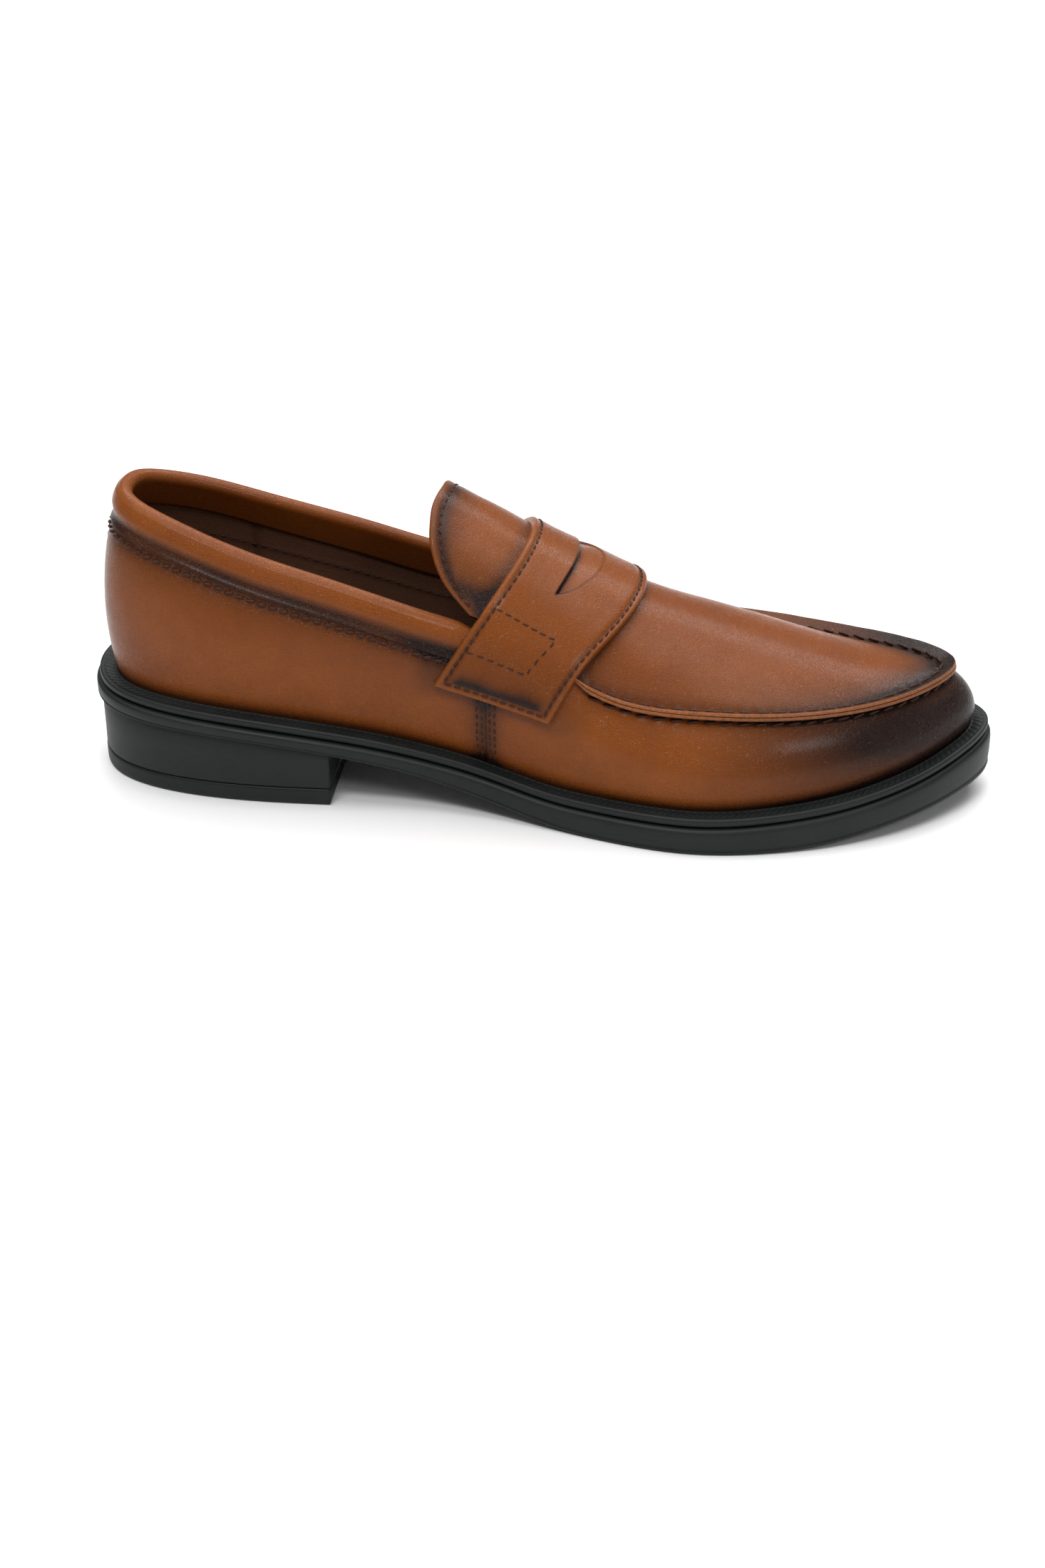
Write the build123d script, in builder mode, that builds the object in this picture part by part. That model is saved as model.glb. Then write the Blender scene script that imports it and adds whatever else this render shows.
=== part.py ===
"""Slip-on penny loafer for the left foot, made as the shoemaker's separate pieces.

Frame: +X to the toe, +Y to the outer (lateral) side, +Z up, origin on the ground under
the middle of the sole. Millimetres. The sole is 300 mm long.

The upper is drawn as a wall that rises from the feather line (where it meets the welt) to a
rim, and an arch that bridges the rim over the instep. STATIONS runs once round the feather
line: heel, inner side, toe, outer side. Every leather layer is the same wall or arch, taken
at its own depth below the outer surface.
"""
from build123d import *
import math
import os

os.makedirs("parts", exist_ok=True)

# ---- driving dimensions -------------------------------------------------------------------
LEATHER = 1.5            # outer leather, thickness
STIFFENER = 0.5          # toe puff, heel counter and side doublers, thickness
LINING = 0.8             # lining leather, thickness
PLY_GAP = 0.1            # room for glue between two flat layers
CURVED_GAP = 0.25        # the same between two curved layers
FIT_GAP = 0.4            # room between the tongue and what it moves against
WELT_WIDTH = 6.0         # welt beyond the upper
WELT_THICK = 3.2
SOLE_BULGE = 1.4         # the outsole's side stands out this far past the welt
HEEL_BREAST_X = -66.0    # front face of the heel
TOP_LIFT = 6.0           # rubber heel tip
HEEL_TAPER = 1.5         # the heel block is this much smaller at the outsole
STRAP_THICK = 2.4
LIP_HEIGHT = 3.6         # raised apron seam above the apron
LIP_THICK = 1.4          # each of the two leather edges in the seam
LIP_START_X = 18.0       # the seam rises from here, just ahead of the strap
LIP_RUN = 7.0            # over which it rises to full height
LIP_LEAST = 0.3
END_SECTION = 0.2        # stations from each end of a layer to its nearest extra section
X_GRID = 10
SEAM_X = -14.0           # vamp to quarter seam
COLLAR_HEIGHT = 11.0     # padded collar band, measured down from the rim
COLLAR_HALF = 2.7        # half the padded collar's thickness
COLLAR_SKIN = 1.1

# Stations round the feather line: x, y, outward direction in degrees, how far the rim leans
# in, rim height, and how far the wall's lower and upper thirds bulge out.
STATIONS = (
    (-143.9, 2.0, 180, 7.0, 99.5, 5.0, 2.0),
    (-140.5, -12.0, 218, 7.5, 99.0, 5.0, 2.0),
    (-130.0, -21.5, 243, 8.5, 96.5, 5.0, 2.0),
    (-113.0, -27.0, 260, 8.5, 92.0, 5.0, 2.0),
    (-90.0, -29.3, 268, 8.5, 84.5, 5.0, 2.0),
    (-62.0, -28.8, 270, 5.8, 77.0, 5.5, 3.0),
    (-36.0, -28.3, 270, 2.0, 70.0, 6.5, 4.5),
    (-14.0, -30.7, 270, 1.7, 64.5, 6.5, 4.0),
    (8.0, -36.0, 270, 2.5, 55.8, 5.5, 2.5),
    (30.0, -42.3, 270, 4.8, 47.2, 5.0, 1.8),
    (54.0, -46.3, 270, 9.0, 44.3, 4.5, 0.0),
    (79.0, -43.3, 274, 8.8, 43.5, 4.2, 0.0),
    (102.0, -35.5, 287, 7.5, 43.6, 4.0, 0.0),
    (121.0, -24.5, 307, 6.8, 44.3, 3.6, 0.0),
    (135.5, -11.0, 332, 7.2, 45.2, 3.4, 0.0),
    (143.5, 4.0, 360, 8.5, 45.8, 3.2, 0.0),
    (136.5, 19.0, 390, 8.0, 45.2, 3.4, 0.0),
    (121.0, 30.0, 415, 7.5, 44.3, 3.6, 0.0),
    (102.0, 38.0, 435, 7.0, 43.6, 3.8, 0.0),
    (79.0, 43.6, 447, 5.8, 43.5, 4.0, 0.8),
    (54.0, 46.2, 450, 4.8, 44.3, 4.2, 1.5),
    (30.0, 45.0, 450, 3.0, 47.2, 4.5, 2.2),
    (8.0, 41.6, 450, 1.4, 55.8, 4.5, 2.8),
    (-14.0, 38.0, 450, 0.5, 62.5, 4.5, 3.2),
    (-36.0, 35.2, 450, 0.5, 67.0, 4.5, 3.2),
    (-62.0, 33.4, 450, 1.0, 75.0, 4.5, 3.0),
    (-90.0, 32.2, 451, 3.2, 83.5, 4.5, 2.5),
    (-113.0, 29.5, 458, 6.0, 91.5, 4.8, 2.0),
    (-130.0, 24.0, 475, 7.5, 96.5, 5.0, 2.0),
    (-140.5, 15.0, 503, 7.3, 99.0, 5.0, 2.0),
)
TOE = 15
COUNT = len(STATIONS)

# Heights along the shoe: (x, z)
FEATHER = ((-150, 34.2), (-101, 31.3), (-62, 26.7), (-23, 19.3), (16, 12.2), (54, 12.2),
           (93, 14.4), (123, 18.9), (150, 25.5))
UNDERSIDE = ((-150, 25.5), (-101, 23.5), (-66, 19.2), (-43, 14.7), (-14, 6.8), (14, 0.5), (26, 0),
             (62, 0), (88, 0.5), (118, 4.5), (152, 8.6))
RIDGE = ((-38, 101), (-30, 98), (-14, 90.5), (-2, 83), (13, 76.3), (37, 65.3), (60, 58.8),
         (80, 53.3), (100, 48.2), (120, 43.6), (140, 39.8))
ARCH_DROP = ((-38, 27.5), (-20, 25.4), (-2, 23), (17, 23.5), (30, 24.8), (54, 19.7), (79, 15.4),
             (100, 12.8), (120, 10.6), (140, 8))
RIDGE_Y = ((-38, 4.2), (20, 3.6), (140, 3))
ARCH_INNER = ((-38, -29.3), (-14, -29), (8, -33.4), (30, -37.4), (54, -37.3), (140, -37))
ARCH_OUTER = ((-38, 34.2), (-14, 37.4), (8, 40.1), (30, 42), (54, 41.4), (140, 41))
ARCH_POWER = 2.1

# Strap seen from the side: rear edge and front edge, from the hem up over the ridge
STRAP_REAR = ((-33.5, 42), (-31, 46), (-16.5, 68.5), (-2.5, 86.5), (2, 92))
STRAP_FRONT = ((4, 30), (7.5, 37), (17, 53), (37, 68.5), (44, 74))
HEM_REAR = (-31, 46)
HEM_FRONT = (7.5, 37)
SLOT_X = 11.7            # rear edge of the coin slot, on the ridge
SLOT_END_X = 6.5         # its two ends, down the sides
SLOT_HALF_LENGTH = 21.0
SLOT_DEPTH = 8.0

# Tongue seen from above: rear edge from the inner corner to the outer one
TONGUE_EDGE = ((-19.5, -28.3), (-29, -25.5), (-34, -18), (-34.5, -8), (-32.5, 4), (-32.5, 16),
               (-31.5, 26), (-27, 32), (-18, 35.5))


# ---- shape functions ----------------------------------------------------------------------
def along(stations, x):
    """Smooth value at x through (x, value) stations, without overshoot."""
    xs = [s[0] for s in stations]
    vs = [s[1] for s in stations]
    steps = [(vs[i + 1] - vs[i]) / (xs[i + 1] - xs[i]) for i in range(len(xs) - 1)]
    slopes = [steps[0]]
    for a, b in zip(steps, steps[1:]):
        slopes.append(0 if a * b <= 0 else 2 * a * b / (a + b))
    slopes.append(steps[-1])
    i = max(k for k in range(len(xs) - 1) if k == 0 or xs[k] <= x)
    w = xs[i + 1] - xs[i]
    t = (x - xs[i]) / w
    if t < 0 or t > 1:
        end = 0 if t < 0 else -1
        return vs[end] + slopes[end] * (x - xs[end])
    return (vs[i] * (1 + 2 * t) * (1 - t) ** 2 + slopes[i] * w * t * (1 - t) ** 2
            + vs[i + 1] * t * t * (3 - 2 * t) + slopes[i + 1] * w * t * t * (t - 1))


def station(column, u):
    """Catmull-Rom value of one STATIONS column at station number u, round and round."""
    i = math.floor(u)
    t = u - i
    turn = 360 if column == 2 else 0
    a, b, c, d = (STATIONS[(i + k) % COUNT][column] + turn * ((i + k) // COUNT)
                  for k in (-1, 0, 1, 2))
    return 0.5 * (2 * b + (c - a) * t + (2 * a - 5 * b + 4 * c - d) * t * t
                  + (3 * b - a - 3 * c + d) * t ** 3)


def station_at(x, first, last):
    """Station number between first and last whose feather point has this x."""
    rising = station(0, last) > station(0, first)
    for _ in range(40):
        middle = (first + last) / 2
        if (station(0, middle) < x) == rising:
            first = middle
        else:
            last = middle
    return first


def inner_side(x):
    return station_at(x, 1, TOE - 1)


def outer_side(x):
    return station_at(x, TOE + 1, COUNT - 1)


def outward(u):
    angle = math.radians(station(2, u))
    return Vector(math.cos(angle), math.sin(angle), 0)


def foot_of_wall(u):
    x = station(0, u)
    return Vector(x, station(1, u), along(FEATHER, x))


def wall_point(u, t, depth=0.0):
    """(out, up) of the wall at station u, t = 0 at the feather line and 1 at the rim."""
    height = station(4, u) - lip(u) - along(FEATHER, station(0, u))
    p1 = (station(5, u), height * 0.33)
    p2 = (station(6, u), height * 0.74)
    p3 = (-station(3, u), height)
    s = 1 - t
    out = 3 * s * s * t * p1[0] + 3 * s * t * t * p2[0] + t ** 3 * p3[0]
    up = 3 * s * s * t * p1[1] + 3 * s * t * t * p2[1] + t ** 3 * p3[1]
    run = 3 * s * s * p1[0] + 6 * s * t * (p2[0] - p1[0]) + 3 * t * t * (p3[0] - p2[0])
    rise = 3 * s * s * p1[1] + 6 * s * t * (p2[1] - p1[1]) + 3 * t * t * (p3[1] - p2[1])
    size = math.hypot(run, rise)
    return out - depth * rise / size, up + depth * run / size


def lip(u):
    """Height of the raised apron seam at station u: none behind the strap's front edge."""
    full = (station(0, u) - LIP_START_X) / LIP_RUN
    return max(LIP_LEAST, LIP_HEIGHT * min(1, full))


def wall_plane(u):
    """Upright plane through station u: local x is outward, local y is up."""
    out = outward(u)
    return Plane(origin=foot_of_wall(u), x_dir=out, z_dir=out.cross(Vector(0, 0, 1)))


def stations_between(first, last):
    """Both ends and every half station between them, so that all layers share sections."""
    clear = 0.8
    inside = [k / 2 for k in range(math.ceil(2 * first + clear), math.floor(2 * last - clear) + 1)]
    close = min(END_SECTION, (last - first) / 8)
    return [first, first + close, *inside, last - close, last]


def arch_point(x, v, raise_by=0.0):
    """Point of the instep arch at x: v = -1 at the inner edge, 0 on the ridge, 1 outside."""
    middle = along(RIDGE_Y, x)
    edge = along(ARCH_OUTER, x) if v > 0 else along(ARCH_INNER, x)
    y = middle + abs(v) * (edge - middle)
    drop = along(ARCH_DROP, x)
    z = along(RIDGE, x) - drop * abs(v) ** ARCH_POWER
    slope = -math.copysign(drop * ARCH_POWER * abs(v) ** (ARCH_POWER - 1), v) / abs(edge - middle)
    size = math.hypot(1, slope)
    return y - raise_by * slope / size, z + raise_by / size


# ---- builders -----------------------------------------------------------------------------
def ring_points(inset, count=44):
    """Points round the feather line, moved in by inset (out if negative)."""
    points = []
    for k in range(count):
        u = k * COUNT / count
        p = foot_of_wall(u) - outward(u) * inset
        points.append((p.X, p.Y))
    return points


def side_profile(low, high, x_start, x_end):
    """Closed side view between two height curves, drawn through one shared grid of x."""
    clear = 0.3
    grid = range(math.ceil(x_start / X_GRID + clear), math.floor(x_end / X_GRID - clear) + 1)
    xs = [x_start, *(X_GRID * k for k in grid), x_end]
    Spline(*[(x, high(x)) for x in xs])
    Line((x_end, high(x_end)), (x_end, low(x_end)))
    Spline(*[(x, low(x)) for x in reversed(xs)])
    Line((x_start, low(x_start)), (x_start, high(x_start)))


def slab(inset, low, high, x_start=-160.0, x_end=160.0):
    """Layer of the sole: the feather outline moved in by inset, between two height curves."""
    with BuildPart() as piece:
        with BuildSketch():
            with BuildLine():
                Spline(*ring_points(inset), periodic=True)
            make_face()
        extrude(amount=60)
        with BuildSketch(Plane.XZ):
            with BuildLine():
                side_profile(low, high, x_start, x_end)
            make_face()
        extrude(amount=80, both=True, mode=Mode.INTERSECT)
    return piece.part


def save(part, name):
    part.label = name
    export_step(part, f"parts/{name}.step")
    print(name, round(part.volume))


def feather(x):
    return along(FEATHER, x)


def underside(x):
    return along(UNDERSIDE, x)


def foot_run():
    """How far the upper's layers reach down beside the welt and the insole."""
    return WELT_THICK - FIT_GAP


def at_wall(u, t, depth):
    """Point in space of the wall at station u."""
    out, up = wall_point(u, t, depth)
    return foot_of_wall(u) + outward(u) * out + Vector(0, 0, up)


def saddle_point(x, w, raise_by):
    """(y, z) over the whole instep: |w| up to 1 on the arch, from 1 to 2 down the wall."""
    if abs(w) <= 1:
        return arch_point(x, w, raise_by)
    u = outer_side(x) if w > 0 else inner_side(x)
    p = at_wall(u, 2 - abs(w), -raise_by)
    return p.Y, p.Z


def collar_t(u, down):
    """Wall parameter this many millimetres below the rim."""
    height = station(4, u) - along(FEATHER, station(0, u))
    return 1 - down / (0.78 * height)


# ---- sole ---------------------------------------------------------------------------------
def sole_top(x):
    return feather(x) - WELT_THICK


def heel_floor(x):
    return underside(x) - PLY_GAP


SOCK_RAISE = ((-160, 7.6), (-84, 7.6), (-60, 4.6), (160, 4.6))
INSOLE_INSET = LEATHER + STIFFENER + LINING + 3 * CURVED_GAP
NAILS = ((-128, 2), (-112, -14), (-112, 18), (-90, -14), (-90, 18))
NAIL_RADIUS = 1.2
NAIL_LOW = 12.0

outsole = slab(-WELT_WIDTH - SOLE_BULGE, underside, lambda x: sole_top(x) - PLY_GAP)
heel_block = slab(-WELT_WIDTH - SOLE_BULGE + HEEL_TAPER, lambda x: TOP_LIFT + PLY_GAP, heel_floor,
                  -160, HEEL_BREAST_X)
top_lift = slab(-WELT_WIDTH - SOLE_BULGE + HEEL_TAPER, lambda x: 0.0, lambda x: TOP_LIFT,
                -160, HEEL_BREAST_X)
insole_board = slab(INSOLE_INSET, lambda x: sole_top(x) + 2.5, lambda x: sole_top(x) + 4.5)
cork_filler = slab(INSOLE_INSET, lambda x: sole_top(x) + 0.1, lambda x: sole_top(x) + 2.4, 14, 160)
heel_pad = slab(INSOLE_INSET + 1, lambda x: sole_top(x) + 4.6,
                lambda x: sole_top(x) + along(SOCK_RAISE, x) - PLY_GAP, -160, -84)
sock_liner = slab(INSOLE_INSET + 0.2, lambda x: sole_top(x) + along(SOCK_RAISE, x),
                  lambda x: sole_top(x) + along(SOCK_RAISE, x) + 1.0)

with BuildPart() as shank:
    with BuildSketch(Plane.XZ):
        with BuildLine():
            side_profile(lambda x: sole_top(x) + 0.2, lambda x: sole_top(x) + 1.7, -78, 10)
        make_face()
    extrude(amount=8, both=True)
    fillet(shank.edges().filter_by(lambda e: e.length < 1.6), radius=7)

with BuildPart() as heel_nails:
    with BuildSketch(Plane.XY.offset(NAIL_LOW)):
        with Locations(*NAILS):
            Circle(NAIL_RADIUS)
    extrude(amount=feather(-110) - NAIL_LOW - 1.5)


def drilled(part):
    """The part with clearance holes for the heel nails."""
    with BuildPart() as piece:
        add(part)
        with BuildSketch(Plane.XY.offset(NAIL_LOW - PLY_GAP)):
            with Locations(*NAILS):
                Circle(NAIL_RADIUS + 0.05)
        extrude(amount=30, mode=Mode.SUBTRACT)
    return piece.part


with BuildPart() as welt:
    add(slab(-WELT_WIDTH, sole_top, feather))
    with BuildSketch():
        with BuildLine():
            Spline(*ring_points(-2 * CURVED_GAP), periodic=True)
        make_face()
    extrude(amount=60, mode=Mode.SUBTRACT)

save(drilled(outsole), "outsole")
save(drilled(heel_block), "heel_block")
save(top_lift, "top_lift")
save(welt.part, "welt")
save(drilled(insole_board), "insole_board")
save(cork_filler, "cork_filler")
save(shank.part, "shank")
save(heel_nails.part, "heel_nails")
save(heel_pad, "heel_pad")
save(sock_liner, "sock_liner")


# ---- trimming shapes ----------------------------------------------------------------------
FAR_X = 190.0            # well clear of the shoe
FAR_UP = 140.0
FAR_DOWN = 20.0


def side_prism(points, closed_by):
    """Solid seen from the side: a smooth edge through points, closed by straight corners."""
    with BuildPart() as prism:
        with BuildSketch(Plane.XZ):
            with BuildLine():
                Spline(*points)
                Polyline(points[-1], *closed_by, points[0])
            make_face()
        extrude(amount=80, both=True)
    return prism.part


def moved(points, dx):
    return [(x + dx, z) for x, z in points]


def behind_strap(gap):
    """Everything behind the strap's rear edge, less a gap."""
    low = STRAP_REAR[0][1]
    corners = ((STRAP_FRONT[1][0], FAR_UP), (-FAR_X, FAR_UP), (-FAR_X, low))
    return side_prism(moved(STRAP_REAR, -gap), corners)


def ahead_of_tongue(gap):
    """Everything ahead of a line just under the strap's rear edge."""
    corners = ((STRAP_FRONT[1][0], FAR_UP), (FAR_X, FAR_UP), (FAR_X, FAR_DOWN), (STRAP_REAR[0][0], FAR_DOWN))
    return side_prism(moved(STRAP_REAR, gap), corners)


def kept_inside(part, *prisms):
    with BuildPart() as piece:
        add(part)
        for prism in prisms:
            add(prism, mode=Mode.INTERSECT)
    return piece.part


# ---- upper: walls -------------------------------------------------------------------------
def collar_low(u):
    return collar_t(u, COLLAR_HEIGHT)


def wall_layer(first, last, outer, inner, top, with_lip=False):
    """Strip of the wall between two stations, from depth outer to depth inner.

    top(u) is the wall parameter of its upper edge. With a lip, the edge turns up there.
    """
    with BuildPart() as layer:
        for u in stations_between(first, last):
            steps = [top(u) * k / 6 for k in range(7)]
            outside = [wall_point(u, t, outer) for t in steps]
            inside = [wall_point(u, t, inner) for t in reversed(steps)]
            with BuildSketch(wall_plane(u)):
                with BuildLine():
                    Spline(*outside)
                    if with_lip:
                        x, z = outside[-1]
                        inner_x = x - LIP_THICK - CURVED_GAP
                        Polyline((x, z), (x, z + lip(u)), (inner_x, z + lip(u)),
                                 (inner_x, inside[0][1]), inside[0])
                    else:
                        Line(outside[-1], inside[0])
                    Spline(*inside)
                    foot = -foot_run()
                    Polyline(inside[-1], (inside[-1][0], foot), (outside[0][0], foot), outside[0])
                make_face()
        loft()
    return layer.part


SEAM_INNER = inner_side(SEAM_X)
SEAM_OUTER = outer_side(SEAM_X)
LINING_SEAM_INNER = inner_side(-88)
LINING_SEAM_OUTER = outer_side(-88)
DOUBLER_INNER = (inner_side(-56), inner_side(88))
DOUBLER_OUTER = (outer_side(88), outer_side(-56))
COUNTER = (outer_side(-60) - COUNT, inner_side(-60))
PUFF = (inner_side(92), outer_side(92))
END_GAP = 0.02           # station numbers between two pieces that meet end to end

STIFF_DEPTH = (LEATHER + CURVED_GAP, LEATHER + CURVED_GAP + STIFFENER)
LINING_DEPTH = (STIFF_DEPTH[1] + CURVED_GAP, STIFF_DEPTH[1] + CURVED_GAP + LINING)


def below_collar(u):
    return collar_low(u) - 0.02


def full_height(u):
    return 1.0


def puff_top(u):
    return 0.9


def doubler_top(u):
    return min(0.7, below_collar(u) - 0.02)


vamp = wall_layer(SEAM_INNER, SEAM_OUTER, 0, LEATHER, full_height, with_lip=True)
inner_quarter = wall_layer(0.04, SEAM_INNER - END_GAP, 0, LEATHER, below_collar)
outer_quarter = wall_layer(SEAM_OUTER + END_GAP, COUNT - 0.04, 0, LEATHER, below_collar)
vamp_lining = wall_layer(SEAM_INNER, SEAM_OUTER, *LINING_DEPTH, puff_top)
inner_lining = wall_layer(LINING_SEAM_INNER + END_GAP, SEAM_INNER - END_GAP, *LINING_DEPTH, below_collar)
outer_lining = wall_layer(SEAM_OUTER + END_GAP, LINING_SEAM_OUTER - END_GAP, *LINING_DEPTH, below_collar)
heel_lining = wall_layer(LINING_SEAM_OUTER - COUNT, LINING_SEAM_INNER, *LINING_DEPTH, below_collar)
heel_counter = wall_layer(*COUNTER, *STIFF_DEPTH, doubler_top)
toe_puff = wall_layer(*PUFF, *STIFF_DEPTH, puff_top)
inner_doubler = wall_layer(*DOUBLER_INNER, *STIFF_DEPTH, doubler_top)
outer_doubler = wall_layer(*DOUBLER_OUTER, *STIFF_DEPTH, doubler_top)

save(vamp, "vamp")
save(inner_quarter, "inner_quarter")
save(outer_quarter, "outer_quarter")
save(vamp_lining, "vamp_lining")
save(inner_lining, "inner_lining")
save(outer_lining, "outer_lining")
save(heel_lining, "heel_lining")
save(heel_counter, "heel_counter")
save(toe_puff, "toe_puff")
save(inner_doubler, "inner_doubler")
save(outer_doubler, "outer_doubler")


# ---- padded collar ------------------------------------------------------------------------
COLLAR_PROUD = 0.6
COLLAR_END_X = -17.0


def collar_loop(u, half):
    """Arch-shaped cross-section of the collar at station u, this far from its middle line."""
    middle = COLLAR_HALF - COLLAR_PROUD
    low = collar_low(u)
    high = collar_t(u, COLLAR_HALF)
    steps = [low + (high - low) * k / 3 for k in range(4)]
    outside = [wall_point(u, t, middle - half) for t in steps]
    inside = [wall_point(u, t, middle + half) for t in reversed(steps)]
    cx, cz = wall_point(u, high, middle)
    tilt = math.atan2(outside[-1][1] - cz, outside[-1][0] - cx)
    cap = []
    for k in range(1, 4):
        angle = tilt + math.pi * k / 4
        cap.append((cx + half * math.cos(angle), cz + half * math.sin(angle)))
    return outside + cap + inside


def collar_piece(half_out, half_in=None):
    """The collar's skin between two half-thicknesses, or its solid core."""
    with BuildPart() as piece:
        first = outer_side(COLLAR_END_X) - COUNT
        last = inner_side(COLLAR_END_X)
        for u in stations_between(first, last):
            outline = collar_loop(u, half_out)
            with BuildSketch(wall_plane(u)):
                with BuildLine():
                    Spline(*outline)
                    if half_in:
                        hollow = collar_loop(u, half_in)
                        hollow.reverse()
                        Line(outline[-1], hollow[0])
                        Spline(*hollow)
                        Line(hollow[-1], outline[0])
                    else:
                        Line(outline[-1], outline[0])
                make_face()
        loft()
    return piece.part


collar_band = collar_piece(COLLAR_HALF, COLLAR_HALF - COLLAR_SKIN)
collar_foam = collar_piece(COLLAR_HALF - COLLAR_SKIN - PLY_GAP)
save(kept_inside(collar_band, behind_strap(FIT_GAP)), "collar_band")
save(kept_inside(collar_foam, behind_strap(1.5 * FIT_GAP)), "collar_foam")


# ---- upper: apron -------------------------------------------------------------------------
APRON_REACH = LIP_THICK + 3 * CURVED_GAP      # from the rim in to the apron's own raised edge
APRON_REAR_X = -22.0
TONGUE_OVERLAP = 3.0     # how far under the strap the apron starts
FAN = (inner_side(LIP_START_X - 1), outer_side(LIP_START_X - 1))


def rim_inset(u, inset):
    """Plan point of the rim, moved in towards the foot."""
    p = foot_of_wall(u) - outward(u) * (station(3, u) + inset)
    return p.X, p.Y


def arch_under(x, y):
    """Height of the arch surface at x and y."""
    middle = along(RIDGE_Y, x)
    edge = along(ARCH_OUTER, x) if y > middle else along(ARCH_INNER, x)
    v = abs((y - middle) / (edge - middle))
    return along(RIDGE, x) - along(ARCH_DROP, x) * v ** ARCH_POWER


def apron_outline(inset, rear_x):
    """Plan outline of the apron: along the rim from behind the strap, round the toe."""
    us = stations_between(inner_side(rear_x), outer_side(rear_x))
    points = [rim_inset(u, inset) for u in us]
    Spline(*points)
    Line(points[-1], points[0])


def arch_sheet(x_start, x_end, top, bottom, reach=1.06):
    """Arched sheet over the instep, from top to bottom above the arch surface."""
    vs = [-reach + 2 * reach * k / 12 for k in range(13)]
    count = math.ceil((x_end - x_start) / 10) + 1
    with BuildPart() as sheet:
        for k in range(count):
            x = x_start + (x_end - x_start) * k / (count - 1)
            upper = [arch_point(x, v, top) for v in vs]
            lower = [arch_point(x, v, bottom) for v in reversed(vs)]
            with BuildSketch(Plane(origin=(x, 0, 0), x_dir=(0, 1, 0), z_dir=(1, 0, 0))):
                with BuildLine():
                    Spline(*upper)
                    Line(upper[-1], lower[0])
                    Spline(*lower)
                    Line(lower[-1], upper[0])
                make_face()
        loft()
    return sheet.part


def plan_prism(outline):
    with BuildPart() as prism:
        with BuildSketch():
            with BuildLine():
                outline()
            make_face()
        extrude(amount=130)
    return prism.part


def apron_layer(top, bottom, inset):
    sheet = arch_sheet(-26, 140, top, bottom)
    outline = plan_prism(lambda: apron_outline(inset, APRON_REAR_X))
    return kept_inside(sheet, outline, ahead_of_tongue(TONGUE_OVERLAP))


def raised_edge():
    """The apron's own edge, standing up against the vamp's."""
    with BuildPart() as edge:
        for u in stations_between(*FAN):
            near = -station(3, u) - APRON_REACH
            x, y = rim_inset(u, APRON_REACH)
            floor = arch_under(x, y) - along(FEATHER, station(0, u)) - LEATHER
            high = station(4, u) - along(FEATHER, station(0, u))
            with BuildSketch(wall_plane(u)):
                with BuildLine():
                    Polyline((near, floor), (near, high), (near - LIP_THICK, high),
                             (near - LIP_THICK, floor), close=True)
                make_face()
        loft()
    return edge.part


save(apron_layer(0, -LEATHER, APRON_REACH + LIP_THICK + CURVED_GAP), "apron")
save(raised_edge(), "apron_edge")
save(apron_layer(-LEATHER - PLY_GAP, -LEATHER - PLY_GAP - LINING, LINING_DEPTH[1] + 1.0), "apron_lining")

# ---- upper: saddle strap ------------------------------------------------------------------
STRAP_LIFT = 0.6         # the strap bridges the rim's small steps


def strap_sheet(top, bottom):
    """Arched band over the instep and down both walls, before it is trimmed."""
    ws = [-1.85, -1.7, -1.5, -1.3, -1.1, -0.9, -0.7, -0.45, -0.2, 0.0]
    ws = ws + [-w for w in reversed(ws[:-1])]
    with BuildPart() as sheet:
        for x in range(-38, 50, 8):
            upper = [saddle_point(x, w, top) for w in ws]
            lower = [saddle_point(x, w, bottom) for w in reversed(ws)]
            with BuildSketch(Plane(origin=(x, 0, 0), x_dir=(0, 1, 0), z_dir=(1, 0, 0))):
                with BuildLine():
                    Spline(*upper)
                    Line(upper[-1], lower[0])
                    Spline(*lower)
                    Line(lower[-1], upper[0])
                make_face()
        loft()
    return sheet.part


def strap_outline():
    """Side view of the strap: rear edge up, over the ridge, front edge down, hem."""
    Spline(*STRAP_REAR[1:])
    Polyline(STRAP_REAR[-1], (20, 105), (44, 100), STRAP_FRONT[-1])
    Spline(*reversed(STRAP_FRONT[1:]))
    Line(HEM_FRONT, HEM_REAR)


def strap_trim():
    with BuildPart() as prism:
        with BuildSketch(Plane.XZ):
            with BuildLine():
                strap_outline()
            make_face()
        extrude(amount=80, both=True)
    return prism.part


def slot_prism():
    """Crescent coin slot: both edges bow to the toe, as the strap itself does."""
    middle = along(RIDGE_Y, SLOT_X)
    ends = (SLOT_END_X, middle - SLOT_HALF_LENGTH), (SLOT_END_X, middle + SLOT_HALF_LENGTH)
    with BuildPart() as prism:
        with BuildSketch(Plane.XY.offset(60)):
            with BuildLine():
                ThreePointArc(ends[0], (SLOT_X, middle), ends[1])
                ThreePointArc(ends[1], (SLOT_X + SLOT_DEPTH, middle), ends[0])
            make_face()
        extrude(amount=50)
    return prism.part


with BuildPart() as saddle_strap:
    add(strap_sheet(STRAP_LIFT + STRAP_THICK, STRAP_LIFT))
    add(strap_trim(), mode=Mode.INTERSECT)
    add(slot_prism(), mode=Mode.SUBTRACT)
save(saddle_strap.part, "saddle_strap")


# ---- upper: tongue ------------------------------------------------------------------------
def tongue_outline(points):
    Spline(*points)
    Polyline(points[-1], (30, 40), (30, -36), points[0])


def tongue_layer(top, bottom, inset):
    points = [(x + inset, y) for x, y in TONGUE_EDGE]
    return kept_inside(arch_sheet(-38, 12, top, bottom), plan_prism(lambda: tongue_outline(points)),
                       behind_strap(FIT_GAP))


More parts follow.
